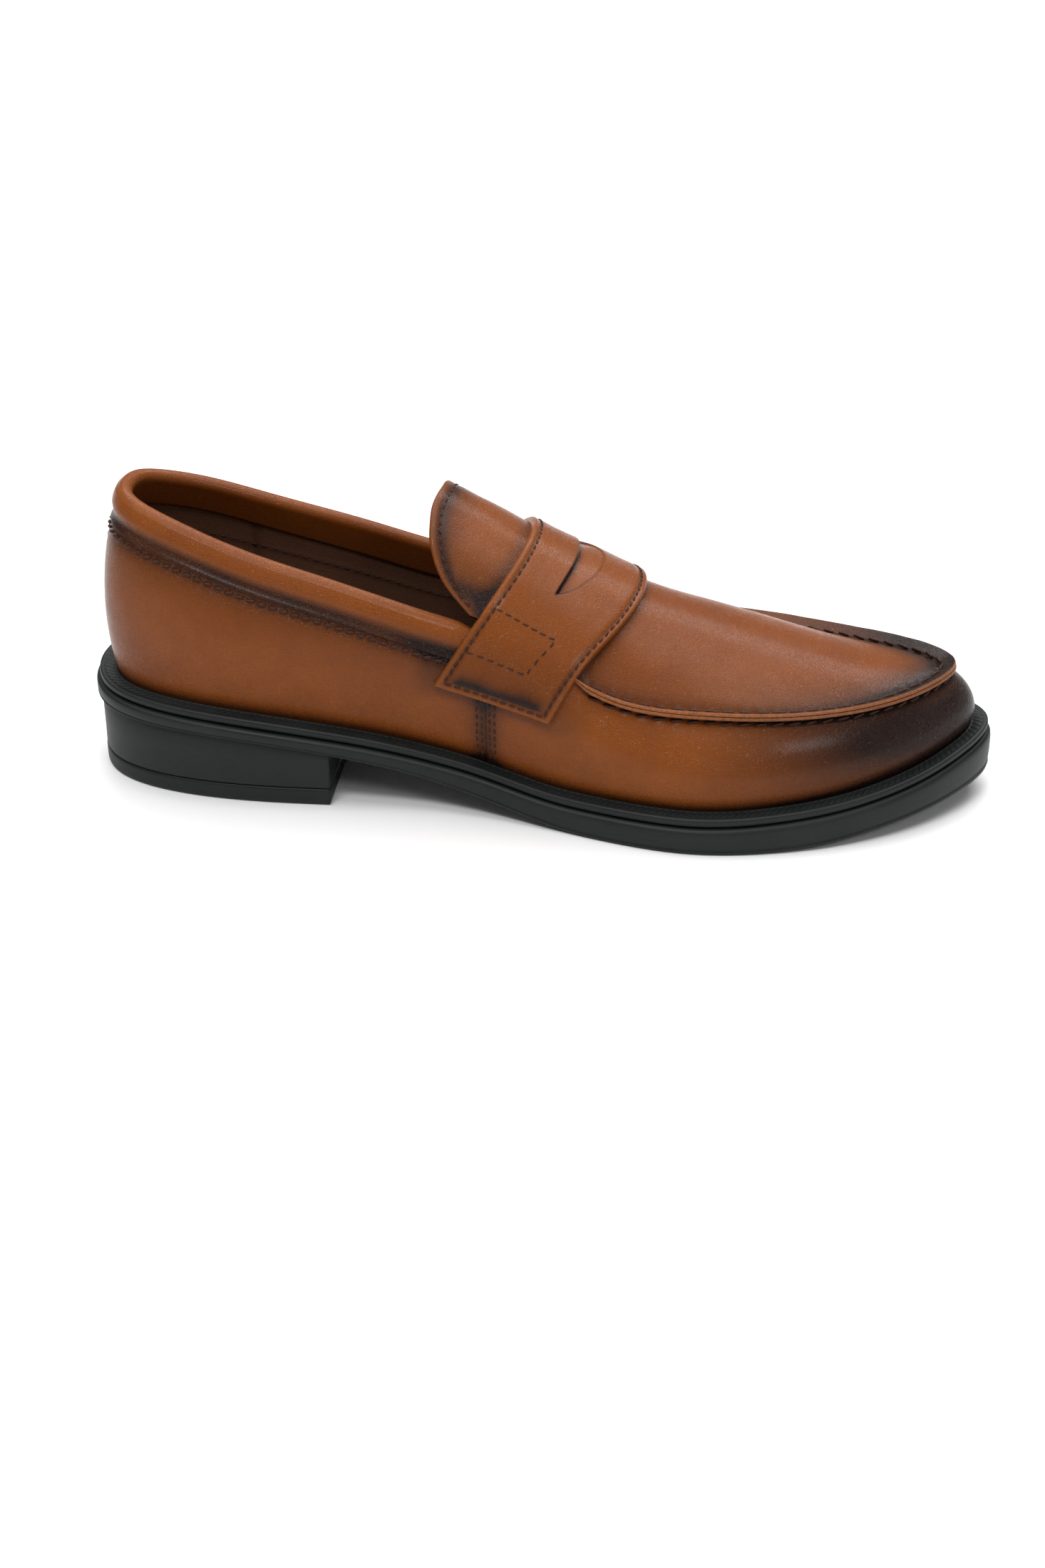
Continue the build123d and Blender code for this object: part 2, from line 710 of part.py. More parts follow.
TONGUE_THICK = 1.4
TONGUE_LINING = 0.9
TONGUE_LINING_INSET = 0.6
TONGUE_LOW = STRAP_LIFT - TONGUE_THICK

save(tongue_layer(STRAP_LIFT, TONGUE_LOW, 0), "tongue")
save(tongue_layer(TONGUE_LOW - PLY_GAP, TONGUE_LOW - PLY_GAP - TONGUE_LINING, TONGUE_LINING_INSET),
     "tongue_lining")
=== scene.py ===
"""Looks of the penny loafer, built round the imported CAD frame.

Shapes are in millimetres, meshes in metres.
"""

import math

import bpy
import numpy as np
from mathutils import Matrix, Vector


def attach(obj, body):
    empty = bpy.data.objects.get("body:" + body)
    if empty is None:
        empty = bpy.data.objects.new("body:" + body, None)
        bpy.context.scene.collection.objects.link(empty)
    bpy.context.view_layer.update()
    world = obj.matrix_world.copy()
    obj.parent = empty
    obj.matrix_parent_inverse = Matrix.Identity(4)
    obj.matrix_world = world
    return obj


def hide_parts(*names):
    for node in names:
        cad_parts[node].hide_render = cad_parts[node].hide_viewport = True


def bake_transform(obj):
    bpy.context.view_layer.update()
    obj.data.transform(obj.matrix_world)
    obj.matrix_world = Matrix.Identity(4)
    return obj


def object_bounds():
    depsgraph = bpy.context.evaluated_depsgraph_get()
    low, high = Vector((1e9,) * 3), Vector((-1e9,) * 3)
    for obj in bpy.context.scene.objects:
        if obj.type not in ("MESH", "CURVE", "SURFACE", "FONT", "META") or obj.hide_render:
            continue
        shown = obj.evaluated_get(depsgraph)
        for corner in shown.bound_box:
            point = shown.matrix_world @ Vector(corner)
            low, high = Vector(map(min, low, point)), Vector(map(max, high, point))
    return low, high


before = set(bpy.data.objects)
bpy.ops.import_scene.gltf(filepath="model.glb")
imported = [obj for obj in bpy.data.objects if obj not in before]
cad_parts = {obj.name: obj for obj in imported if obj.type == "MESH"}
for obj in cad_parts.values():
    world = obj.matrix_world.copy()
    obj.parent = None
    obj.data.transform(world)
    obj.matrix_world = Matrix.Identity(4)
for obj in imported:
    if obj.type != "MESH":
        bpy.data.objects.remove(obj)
cad_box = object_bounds()
MM = 0.001

# ---- the shoe's own dimensions ----
# These match the CAD, apart from the seam's lip (LIP_START_X, LIP_RUN), which starts further
# back here, and the sock, whose heights here are those of its top face.
WELT_WIDTH = 6.0
WELT_THICK = 3.2
SOLE_BULGE = 1.4
HEEL_BREAST_X = -66.0
HEEL_TAPER = 1.5
STRAP_THICK = 2.4
LIP_HEIGHT = 3.6
LIP_START_X = 9.0
LIP_RUN = 12.0           # distance over which the turned-up seam reaches full height
SEAM_PITCH = 5.4
SEAM_STITCH = 4.1
FLANGE_LEAN = 64          # degrees outward from upright
SEAM_X = -14.0
COLLAR_HEIGHT = 11.0
COLLAR_HALF = 2.7
LINING_DEPTH = 3.3
LINING_SEAM_X = -101.0    # upright seam in the lining, on each side

# Stations round the feather line: x, y, outward direction, rim lean, rim height, two bulges
STATIONS = (
    (-143.9, 2.0, 180, 7.0, 99.5, 5.0, 2.0),
    (-140.5, -12.0, 218, 7.5, 99.0, 5.0, 2.0),
    (-130.0, -21.5, 243, 8.5, 96.5, 5.0, 2.0),
    (-113.0, -27.0, 260, 8.5, 92.0, 5.0, 2.0),
    (-90.0, -29.3, 268, 8.5, 84.5, 5.0, 2.0),
    (-62.0, -28.8, 270, 5.8, 77.0, 5.5, 3.0),
    (-36.0, -28.3, 270, 2.0, 70.0, 6.5, 4.5),
    (-14.0, -30.7, 270, 1.7, 64.5, 6.5, 4.0),
    (8.0, -36.0, 270, 2.5, 55.8, 5.5, 2.5),
    (30.0, -42.3, 270, 4.8, 47.2, 5.0, 1.8),
    (54.0, -46.3, 270, 9.0, 44.3, 4.5, 0.0),
    (79.0, -43.3, 274, 8.8, 43.5, 4.2, 0.0),
    (102.0, -35.5, 287, 7.5, 43.6, 4.0, 0.0),
    (121.0, -24.5, 307, 6.8, 44.3, 3.6, 0.0),
    (135.5, -11.0, 332, 7.2, 45.2, 3.4, 0.0),
    (143.5, 4.0, 360, 8.5, 45.8, 3.2, 0.0),
    (136.5, 19.0, 390, 8.0, 45.2, 3.4, 0.0),
    (121.0, 30.0, 415, 7.5, 44.3, 3.6, 0.0),
    (102.0, 38.0, 435, 7.0, 43.6, 3.8, 0.0),
    (79.0, 43.6, 447, 5.8, 43.5, 4.0, 0.8),
    (54.0, 46.2, 450, 4.8, 44.3, 4.2, 1.5),
    (30.0, 45.0, 450, 3.0, 47.2, 4.5, 2.2),
    (8.0, 41.6, 450, 1.4, 55.8, 4.5, 2.8),
    (-14.0, 38.0, 450, 0.5, 62.5, 4.5, 3.2),
    (-36.0, 35.2, 450, 0.5, 67.0, 4.5, 3.2),
    (-62.0, 33.4, 450, 1.0, 75.0, 4.5, 3.0),
    (-90.0, 32.2, 451, 3.2, 83.5, 4.5, 2.5),
    (-113.0, 29.5, 458, 6.0, 91.5, 4.8, 2.0),
    (-130.0, 24.0, 475, 7.5, 96.5, 5.0, 2.0),
    (-140.5, 15.0, 503, 7.3, 99.0, 5.0, 2.0),
)
TOE = 15
COUNT = len(STATIONS)
FEATHER = ((-150, 34.2), (-101, 31.3), (-62, 26.7), (-23, 19.3), (16, 12.2), (54, 12.2),
           (93, 14.4), (123, 18.9), (150, 25.5))
UNDERSIDE = ((-150, 25.5), (-101, 23.5), (-66, 19.2), (-43, 14.7), (-14, 6.8), (14, 0.5), (26, 0),
             (62, 0), (88, 0.5), (118, 4.5), (152, 8.6))
RIDGE = ((-38, 101), (-30, 98), (-14, 90.5), (-2, 83), (13, 76.3), (37, 65.3), (60, 58.8),
         (80, 53.3), (100, 48.2), (120, 43.6), (140, 39.8))
ARCH_DROP = ((-38, 27.5), (-20, 25.4), (-2, 23), (17, 23.5), (30, 24.8), (54, 19.7), (79, 15.4),
             (100, 12.8), (120, 10.6), (140, 8))
RIDGE_Y = ((-38, 4.2), (20, 3.6), (140, 3))
ARCH_INNER = ((-38, -29.3), (-14, -29), (8, -33.4), (30, -37.4), (54, -37.3), (140, -37))
ARCH_OUTER = ((-38, 34.2), (-14, 37.4), (8, 40.1), (30, 42), (54, 41.4), (140, 41))
ARCH_POWER = 2.1
STRAP_REAR = ((-33.5, 42), (-31, 46), (-16.5, 68.5), (-2.5, 86.5), (2, 92))
STRAP_FRONT = ((4, 30), (7.5, 37), (17, 53), (37, 68.5), (44, 74))
HEM_REAR = (-31, 46)
HEM_FRONT = (7.5, 37)
SLOT_X = 11.7
SLOT_END_X = 6.5
SLOT_HALF_LENGTH = 21.0
SLOT_DEPTH = 8.0
TONGUE_EDGE = ((-19.5, -28.3), (-29, -25.5), (-34, -18), (-34.5, -8), (-32.5, 4), (-32.5, 16),
               (-31.5, 26), (-27, 32), (-18, 35.5))
SOCK_RAISE = ((-160, 8.6), (-84, 8.6), (-60, 5.6), (160, 5.6))


# ---- shape functions ----
def along(stations, x):
    """Smooth values at x through (x, value) stations, without overshoot."""
    xs, vs = np.array(stations, float).T
    steps = np.diff(vs) / np.diff(xs)
    both = steps[:-1] * steps[1:]
    total = np.where(both > 0, steps[:-1] + steps[1:], 1)
    slopes = np.concatenate([steps[:1], np.where(both > 0, 2 * both / total, 0), steps[-1:]])
    x = np.asarray(x, float)
    i = np.clip(np.searchsorted(xs, x, side="right") - 1, 0, len(xs) - 2)
    w = xs[i + 1] - xs[i]
    t = (x - xs[i]) / w
    y = (vs[i] * (1 + 2 * t) * (1 - t) ** 2 + slopes[i] * w * t * (1 - t) ** 2
         + vs[i + 1] * t * t * (3 - 2 * t) + slopes[i + 1] * w * t * t * (t - 1))
    y = np.where(t < 0, vs[0] + slopes[0] * (x - xs[0]), y)
    return np.where(t > 1, vs[-1] + slopes[-1] * (x - xs[-1]), y)


def eased(stations, spread=5.0):
    """The same curve with its corners eased over a few millimetres, as a fast lookup."""
    xs = np.arange(-190, 190, 0.5)
    kernel = np.exp(-0.5 * (np.arange(-40, 41) * 0.5 / spread) ** 2)
    padded = along(stations, np.arange(-210, 210, 0.5))
    smooth = np.convolve(padded, kernel / kernel.sum(), mode="same")[40:-40]
    return lambda x: np.interp(x, xs, smooth)


feather = eased(FEATHER)
underside = eased(UNDERSIDE)
ridge = eased(RIDGE)
arch_drop = eased(ARCH_DROP)
ridge_y = eased(RIDGE_Y)
arch_inner = eased(ARCH_INNER)
arch_outer = eased(ARCH_OUTER)
sock_raise = eased(SOCK_RAISE)


def periodic_spline():
    """Second derivatives of every STATIONS column, for one smooth closed curve."""
    values = np.array(STATIONS, float)
    values[:, 2] -= 180 + 360 / COUNT * np.arange(COUNT)
    system = 4 * np.eye(COUNT) + np.roll(np.eye(COUNT), 1, 0) + np.roll(np.eye(COUNT), -1, 0)
    bends = 6 * (np.roll(values, 1, 0) - 2 * values + np.roll(values, -1, 0))
    return values, np.linalg.solve(system, bends)


VALUES, BENDS = periodic_spline()


def station(column, u):
    u = np.asarray(u, float)
    i = np.floor(u).astype(int)
    t = u - i
    a, b = i % COUNT, (i + 1) % COUNT
    y = ((1 - t) * VALUES[a, column] + t * VALUES[b, column]
         + ((1 - t) ** 3 - (1 - t)) * BENDS[a, column] / 6 + (t ** 3 - t) * BENDS[b, column] / 6)
    return y + 180 + 360 / COUNT * u if column == 2 else y


def side_lookup(first, last):
    us = np.linspace(first, last, 2000)
    xs = station(0, us)
    order = np.argsort(xs)
    return lambda x: np.interp(x, xs[order], us[order])


inner_side = side_lookup(1.0, TOE - 1.0)
outer_side = side_lookup(TOE + 1.0, COUNT - 1.0)


def across_toe(x, count):
    """Stations from x on the inner side, round the toe, to x on the outer side."""
    return np.linspace(float(inner_side(x)), float(outer_side(x)), count)


def round_heel(x, count):
    """Stations from x on the outer side, round the heel, to x on the inner side."""
    return np.linspace(float(outer_side(x)) - COUNT, float(inner_side(x)), count)


def outward(u):
    angle = np.radians(station(2, u))
    return np.cos(angle), np.sin(angle)


def lip_share(u):
    """0 where the apron seam is flat, under the strap, to 1 where its edges turn up."""
    full = np.clip((station(0, u) - LIP_START_X) / LIP_RUN, 0, 1)
    return full * full * (3 - 2 * full)


def lip(u):
    return np.maximum(0.1, LIP_HEIGHT * lip_share(u))


def flange(u, along_it, across):
    """(out, up) from the top of the wall, for a point on the two edges that lean outward as one flange."""
    lean = math.radians(FLANGE_LEAN)
    share = lip_share(u)
    out = -1.6 + along_it * math.sin(lean) + across * math.cos(lean)
    up = 0.6 + along_it * math.cos(lean) - across * math.sin(lean)
    return out * share, up * share


def rim_height(u):
    return station(4, u)


def wall_point(u, t, depth=0.0):
    """(out, up) of the wall at stations u, t = 0 at the feather line and 1 at the rim."""
    height = rim_height(u) - lip(u) - feather(station(0, u))
    o1, o2, o3 = station(5, u), station(6, u), -station(3, u)
    s = 1 - t
    out = 3 * s * s * t * o1 + 3 * s * t * t * o2 + t ** 3 * o3
    up = height * (3 * s * s * t * 0.33 + 3 * s * t * t * 0.74 + t ** 3)
    run = 3 * s * s * o1 + 6 * s * t * (o2 - o1) + 3 * t * t * (o3 - o2)
    rise = height * (3 * s * s * 0.33 + 6 * s * t * (0.74 - 0.33) + 3 * t * t * (1 - 0.74))
    size = np.hypot(run, rise)
    return out - depth * rise / size, up + depth * run / size


def placed(u, out, up):
    """Points in space, (..., 3), from stations and (out, up)."""
    ox, oy = outward(u)
    x, y = station(0, u), station(1, u)
    return np.stack([x + ox * out, y + oy * out, feather(x) + up], -1)


def arch_under(x, y):
    """Height of the instep arch at x and y."""
    middle = ridge_y(x)
    edge = np.where(y > middle, arch_outer(x), arch_inner(x))
    v = np.abs((y - middle) / (edge - middle))
    return ridge(x) - arch_drop(x) * v ** ARCH_POWER


def collar_t(u, down):
    height = rim_height(u) - feather(station(0, u))
    return 1 - down / (0.78 * height)


def smoothstep(low, high, x):
    t = np.clip((np.asarray(x, float) - low) / (high - low), 0, 1)
    return t * t * (3 - 2 * t)


def bell(x, centre, spread):
    return np.exp(-0.5 * ((np.asarray(x) - centre) / spread) ** 2)


def wobble(s, seed, scale):
    """Gentle repeatable unevenness along a length s in mm, about -1 to 1."""
    return (np.sin(s / scale + seed) + 0.6 * np.sin(s / scale * 2.3 + 1.7 * seed)
            + 0.4 * np.sin(s / scale * 4.1 + 2.9 * seed)) / 2


# ---- mesh building ----
def smooth_piece(name, mesh, body):
    """Object round a mesh, smooth shaded, riding on body (None: left unattached)."""
    mesh.polygons.foreach_set("use_smooth", [True] * len(mesh.polygons))
    piece = bpy.data.objects.new(name, mesh)
    bpy.context.scene.collection.objects.link(piece)
    if body:
        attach(piece, body)
    return piece


def shell(name, points, body="shoe", closed=False, flip=False, **marks):
    """Object from a grid of points in mm; marks become per-vertex attributes for the materials."""
    rows, columns = points.shape[:2]
    index = np.arange(rows * columns).reshape(rows, columns)
    if closed:
        index = np.concatenate([index, index[:1]])
    a, b, c, d = index[:-1, :-1], index[:-1, 1:], index[1:, 1:], index[1:, :-1]
    faces = np.stack([a, d, c, b] if flip else [a, b, c, d], -1).reshape(-1, 4)
    mesh = bpy.data.meshes.new(name)
    mesh.from_pydata((points.reshape(-1, 3) * MM).tolist(), [], faces.tolist())
    mesh.validate()
    for mark, values in marks.items():
        layer = mesh.attributes.new(mark, "FLOAT", "POINT")
        spread = np.broadcast_to(values, (rows, columns)).astype(np.float32).ravel()
        layer.data.foreach_set("value", spread)
    return smooth_piece(name, mesh, body)


def grid_normals(points):
    """Unit normals of a grid of points."""
    du = np.gradient(points, axis=0)
    dv = np.gradient(points, axis=1)
    n = np.cross(du, dv)
    return n / np.maximum(np.linalg.norm(n, axis=-1, keepdims=True), 1e-9)


def path_lengths(path):
    return np.concatenate([[0], np.cumsum(np.linalg.norm(np.diff(path, axis=0), axis=1))])


def even_path(path, step):
    """The path's points, spaced evenly about step apart."""
    lengths = path_lengths(path)
    count = max(2, int(round(lengths[-1] / step)) + 1)
    at = np.linspace(0, lengths[-1], count)
    return np.stack([np.interp(at, lengths, path[:, k]) for k in range(3)], -1)


def stitch_row(paths, up_at, length=2.9, pitch=4.0, radius=0.36, seed=1.0, tilt=0.0):
    """Vertices and faces of a thread capsule for each stitch; up_at gives the surface normal."""
    ring = 8
    profile = [(-0.5, 0.02, -0.5), (-0.46, 0.6, -0.15), (-0.36, 1.0, 0.1), (0.0, 1.12, 0.3),
               (0.36, 1.0, 0.1), (0.46, 0.6, -0.15), (0.5, 0.02, -0.5)]
    vertices, faces = [], []
    for path, normals in zip(paths, up_at):
        lengths = path_lengths(path)
        count = int(lengths[-1] / pitch)
        for k in range(count):
            s = (k + 0.5) * lengths[-1] / count
            centre = np.array([np.interp(s, lengths, path[:, c]) for c in range(3)])
            ahead = np.array([np.interp(s + 0.5, lengths, path[:, c]) for c in range(3)])
            behind = np.array([np.interp(s - 0.5, lengths, path[:, c]) for c in range(3)])
            up = np.array([np.interp(s, lengths, normals[:, c]) for c in range(3)])
            up /= np.linalg.norm(up)
            forward = ahead - behind
            forward /= np.linalg.norm(forward)
            side = np.cross(up, forward)
            side /= np.linalg.norm(side)
            up = np.cross(forward, side)
            turn = tilt + 0.07 * math.sin(2.4 * k + seed)
            forward, side = (forward * math.cos(turn) + side * math.sin(turn),
                             side * math.cos(turn) - forward * math.sin(turn))
            size = length * (1 + 0.06 * math.sin(1.7 * k + seed))
            first = len(vertices)
            for at, wide, high in profile:
                for j in range(ring):
                    angle = 2 * math.pi * j / ring
                    offset = (forward * at * size + side * math.cos(angle) * wide * radius
                              + up * (math.sin(angle) * wide * radius + high * radius))
                    vertices.append(centre + offset)
            for p in range(len(profile) - 1):
                for j in range(ring):
                    a = first + p * ring + j
                    b = first + p * ring + (j + 1) % ring
                    faces.append((a, b, b + ring, a + ring))
            faces.append(tuple(first + j for j in reversed(range(ring))))
            last = first + (len(profile) - 1) * ring
            faces.append(tuple(last + j for j in range(ring)))
    return vertices, faces


def thread(name, paths, up_at, body="shoe", **settings):
    vertices, faces = stitch_row(paths, up_at, **settings)
    mesh = bpy.data.meshes.new(name)
    mesh.from_pydata([tuple(v * MM) for v in vertices], [], faces)
    mesh.validate()
    piece = smooth_piece(name, mesh, body)
    piece.data.materials.append(thread_material)
    return piece


# ---- materials ----
class Nodes:
    """Short way to build a node tree."""

    def __init__(self, name):
        self.material = bpy.data.materials.new(name)
        self.material.use_nodes = True
        self.tree = self.material.node_tree
        self.tree.nodes.clear()
        self.output = self.add("ShaderNodeOutputMaterial")
        self.shader = self.add("ShaderNodeBsdfPrincipled")
        self.link(self.shader, "BSDF", self.output, "Surface")
        self.where = self.add("ShaderNodeTexCoord")

    def add(self, kind, **settings):
        node = self.tree.nodes.new(kind)
        for key, value in settings.items():
            setattr(node, key, value)
        return node

    def link(self, a, out, b, into):
        self.tree.links.new(a.outputs[out], b.inputs[into])

    def attribute(self, name):
        return self.add("ShaderNodeAttribute", attribute_name=name)

    def noise(self, scale, detail=3.0, rough=0.5, stretch=None):
        node = self.add("ShaderNodeTexNoise")
        node.inputs["Scale"].default_value = scale
        node.inputs["Detail"].default_value = detail
        node.inputs["Roughness"].default_value = rough
        self.place(node, stretch)
        return node

    def cells(self, scale, feature="F1", stretch=None, **settings):
        node = self.add("ShaderNodeTexVoronoi", feature=feature, **settings)
        node.inputs["Scale"].default_value = scale
        self.place(node, stretch)
        return node

    def place(self, node, stretch):
        if stretch:
            mapping = self.add("ShaderNodeMapping")
            mapping.inputs["Scale"].default_value = stretch
            self.link(self.where, "Object", mapping, "Vector")
            self.link(mapping, "Vector", node, "Vector")
        else:
            self.link(self.where, "Object", node, "Vector")

    def span(self, source, out, low, high, to_low, to_high):
        node = self.add("ShaderNodeMapRange", clamp=True)
        for key, value in zip(("From Min", "From Max", "To Min", "To Max"), (low, high, to_low, to_high)):
            node.inputs[key].default_value = value
        self.link(source, out, node, "Value")
        return node

    def blend(self, factor, factor_out, a, b):
        """Colour between a and b, each a colour or a (node, output) pair."""
        node = self.add("ShaderNodeMix", data_type="RGBA")
        self.link(factor, factor_out, node, 0)
        for socket, value in ((6, a), (7, b)):
            if isinstance(value, tuple) and hasattr(value[0], "outputs"):
                self.tree.links.new(value[0].outputs[value[1]], node.inputs[socket])
            else:
                node.inputs[socket].default_value = (*value, 1)
        return node

    def bump(self, height, out, strength, distance, under=None):
        node = self.add("ShaderNodeBump")
        node.inputs["Strength"].default_value = strength
        node.inputs["Distance"].default_value = distance
        self.link(height, out, node, "Height")
        if under:
            self.link(under, "Normal", node, "Normal")
        return node


def leather_material(name, bright, middle, dark, rough=0.27, grain=0.38, coat=0.07):
    """Semi-gloss finished leather. Attributes: burnish darkens it, both as real burnishing and as painted
    shade; raw shows the cut edge.
    """
    n = Nodes(name)
    burnish, raw = n.attribute("burnish"), n.attribute("raw")
    clouds = n.noise(26, 3, 0.5)
    streaks = n.noise(160, 3, 0.6)
    tone = n.span(clouds, "Fac", 0.25, 0.75, 0.2, 0.8)
    base = n.blend(tone, 0, middle, bright)
    fine = n.span(streaks, "Fac", 0.3, 0.75, 0, 0.12)
    mottled = n.blend(fine, 0, (base, 2), dark)
    uneven = n.add("ShaderNodeMath", operation="MULTIPLY_ADD")
    n.link(clouds, "Fac", uneven, 0)
    uneven.inputs[1].default_value = 0.25
    n.link(burnish, "Fac", uneven, 2)
    amount = n.span(uneven, 0, 0.17, 1.1, 0, 1)
    shaded = n.blend(amount, 0, (mottled, 2), dark)
    edge_noise = n.noise(900, 3, 0.6)
    edge_tone = n.span(edge_noise, "Fac", 0.3, 0.7, 0, 1)
    edge = n.blend(edge_tone, 0, (0.24, 0.075, 0.022), (0.4, 0.145, 0.052))
    final = n.blend(raw, "Fac", (shaded, 2), (edge, 2))
    n.link(final, 2, n.shader, "Base Color")
    gloss = n.span(streaks, "Fac", 0.25, 0.8, rough - 0.04, rough + 0.09)
    n.link(gloss, 0, n.shader, "Roughness")
    n.shader.inputs["Coat Weight"].default_value = coat
    n.shader.inputs["Coat Roughness"].default_value = 0.18
    n.shader.inputs["Specular IOR Level"].default_value = 0.17
    pores = n.cells(1500, "DISTANCE_TO_EDGE")
    pore_depth = n.span(pores, "Distance", 0.0, 0.16, 0, 1)
    creases = n.noise(620, 5, 0.65)
    soft = n.noise(70, 2, 0.5)
    first = n.bump(soft, "Fac", 0.16, 0.0012)
    second = n.bump(creases, "Fac", grain * 0.55, 0.00022, first)
    third = n.bump(pore_depth, 0, grain, 0.00028, second)
    n.link(third, "Normal", n.shader, "Normal")
    return n.material


def plain_material(name, light, dark, rough, scale, bump=0.2, distance=0.0002, sheen=0.0, stretch=None,
                   level=0.4):
    n = Nodes(name)
    n.shader.inputs["Specular IOR Level"].default_value = level
    marks = n.noise(scale, 4, 0.6, stretch)
    tone = n.span(marks, "Fac", 0.3, 0.7, 0, 1)
    colour = n.blend(tone, 0, dark, light)
    n.link(colour, 2, n.shader, "Base Color")
    gloss = n.span(marks, "Fac", 0.2, 0.8, rough - 0.06, rough + 0.08)
    n.link(gloss, 0, n.shader, "Roughness")
    n.shader.inputs["Sheen Weight"].default_value = sheen
    fine = n.noise(scale * 5, 3, 0.6, stretch)
    first = n.bump(marks, "Fac", bump, distance)
    second = n.bump(fine, "Fac", bump * 0.7, distance * 0.5, first)
    n.link(second, "Normal", n.shader, "Normal")
    return n.material


def rubber_material():
    """Matte black sole rubber with fine level lines on its side and a faint bloom."""
    n = Nodes("sole_rubber")
    dust = n.noise(60, 5, 0.6)
    tone = n.span(dust, "Fac", 0.3, 0.75, 0, 1)
    colour = n.blend(tone, 0, (0.0075, 0.009, 0.0092), (0.0135, 0.0155, 0.0155))
    n.link(colour, 2, n.shader, "Base Color")
    gloss = n.span(dust, "Fac", 0.25, 0.8, 0.44, 0.56)
    n.link(gloss, 0, n.shader, "Roughness")
    n.shader.inputs["Specular IOR Level"].default_value = 0.24
    lines = n.noise(420, 2, 0.5, (0.12, 0.12, 3.2))
    fine = n.noise(2600, 3, 0.6)
    first = n.bump(lines, "Fac", 0.3, 0.00018)
    second = n.bump(fine, "Fac", 0.3, 0.00008, first)
    n.link(second, "Normal", n.shader, "Normal")
    return n.material


tan = leather_material("tan_leather", (0.25, 0.066, 0.0065), (0.142, 0.0305, 0.0024),
                       (0.0125, 0.0036, 0.0018))
lining_leather = leather_material("lining_leather_dark", (0.135, 0.056, 0.028), (0.09, 0.037, 0.0185),
                                  (0.05, 0.021, 0.013), rough=0.6, grain=0.5, coat=0.0)
rubber = rubber_material()
thread_material = plain_material("waxed_thread", (0.06, 0.019, 0.008), (0.02, 0.007, 0.0035),
                                 0.5, 1800, 0.6, 0.0001, level=0.2)
sock_cloth = plain_material("sock_cloth", (0.022, 0.026, 0.038), (0.01, 0.012, 0.019),
                            0.75, 700, 0.5, 0.0002, 0.2)
board_fibre = plain_material("board_fibre", (0.5, 0.38, 0.25), (0.3, 0.2, 0.12), 0.85, 500, 0.4)
cork_grain = plain_material("cork_grain", (0.5, 0.33, 0.19), (0.2, 0.11, 0.06), 0.9, 260, 0.7, 0.0006)
steel_brushed = plain_material("steel_brushed", (0.6, 0.61, 0.63), (0.4, 0.41, 0.43),
                               0.4, 900, 0.2, 0.00005, 0, (0.05, 1, 1))
foam_cells = plain_material("foam_cells", (0.6, 0.56, 0.46), (0.45, 0.41, 0.33), 0.9, 900, 0.8, 0.0003)
felt = plain_material("pressed_felt", (0.55, 0.5, 0.4), (0.38, 0.33, 0.26), 0.92, 800, 0.6, 0.0003, 0.3)


def dress(piece, material, slot, *nodes):
    piece.data.materials.append(material)
    if nodes:
        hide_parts(*nodes)


# ---- upper: walls ----
SEAM_INNER = float(inner_side(SEAM_X))
SEAM_OUTER = float(outer_side(SEAM_X))
# painted shade in the crease where the upper meets the welt
FEATHER_SHADE = 2.2       # mm of darkened leather just above the welt


def stitch_pucker(u):
    """Small pull-in where each stitch bites, along the apron seam."""
    return 0.5 + 0.5 * np.cos(2 * np.pi * ring_length(u) / SEAM_PITCH)


def ring_length(u):
    return np.interp(u, RING_U, RING_S)


RING_U = np.linspace(-2, COUNT + 2, 3200)
RING_S = path_lengths(placed(RING_U, 0 * RING_U, 0 * RING_U))


def toe_burnish(x, z):
    """Dark burnished toe wall, fading back along both sides and strongest at mid height."""
    reach = smoothstep(40, 118, x)
    level = 0.35 + 0.75 * bell(z, 33, 9)
    return reach * level


def wall_burnish(points):
    x, z = points[..., 0], points[..., 2]
    above_welt = z - feather(x)
    dark = 0.95 * toe_burnish(x, z)
    # painted shade in the crease just above the welt, added to the toe's real burnish
    dark += 0.75 * bell(above_welt, 0, FEATHER_SHADE)
    return dark


def hem_height(x):
    return np.interp(x, (HEM_REAR[0], HEM_FRONT[0]), (HEM_REAR[1], HEM_FRONT[1]))


def shade_under_strap(points):
    """Painted shade on the walls where they go under the strap."""
    ends = smoothstep(-40, -33, points[..., 0]) * smoothstep(24, 8, points[..., 0])
    return smoothstep(-7, 0, points[..., 2] - hem_height(points[..., 0])) * ends


FLANGE_LENGTH = 4.2


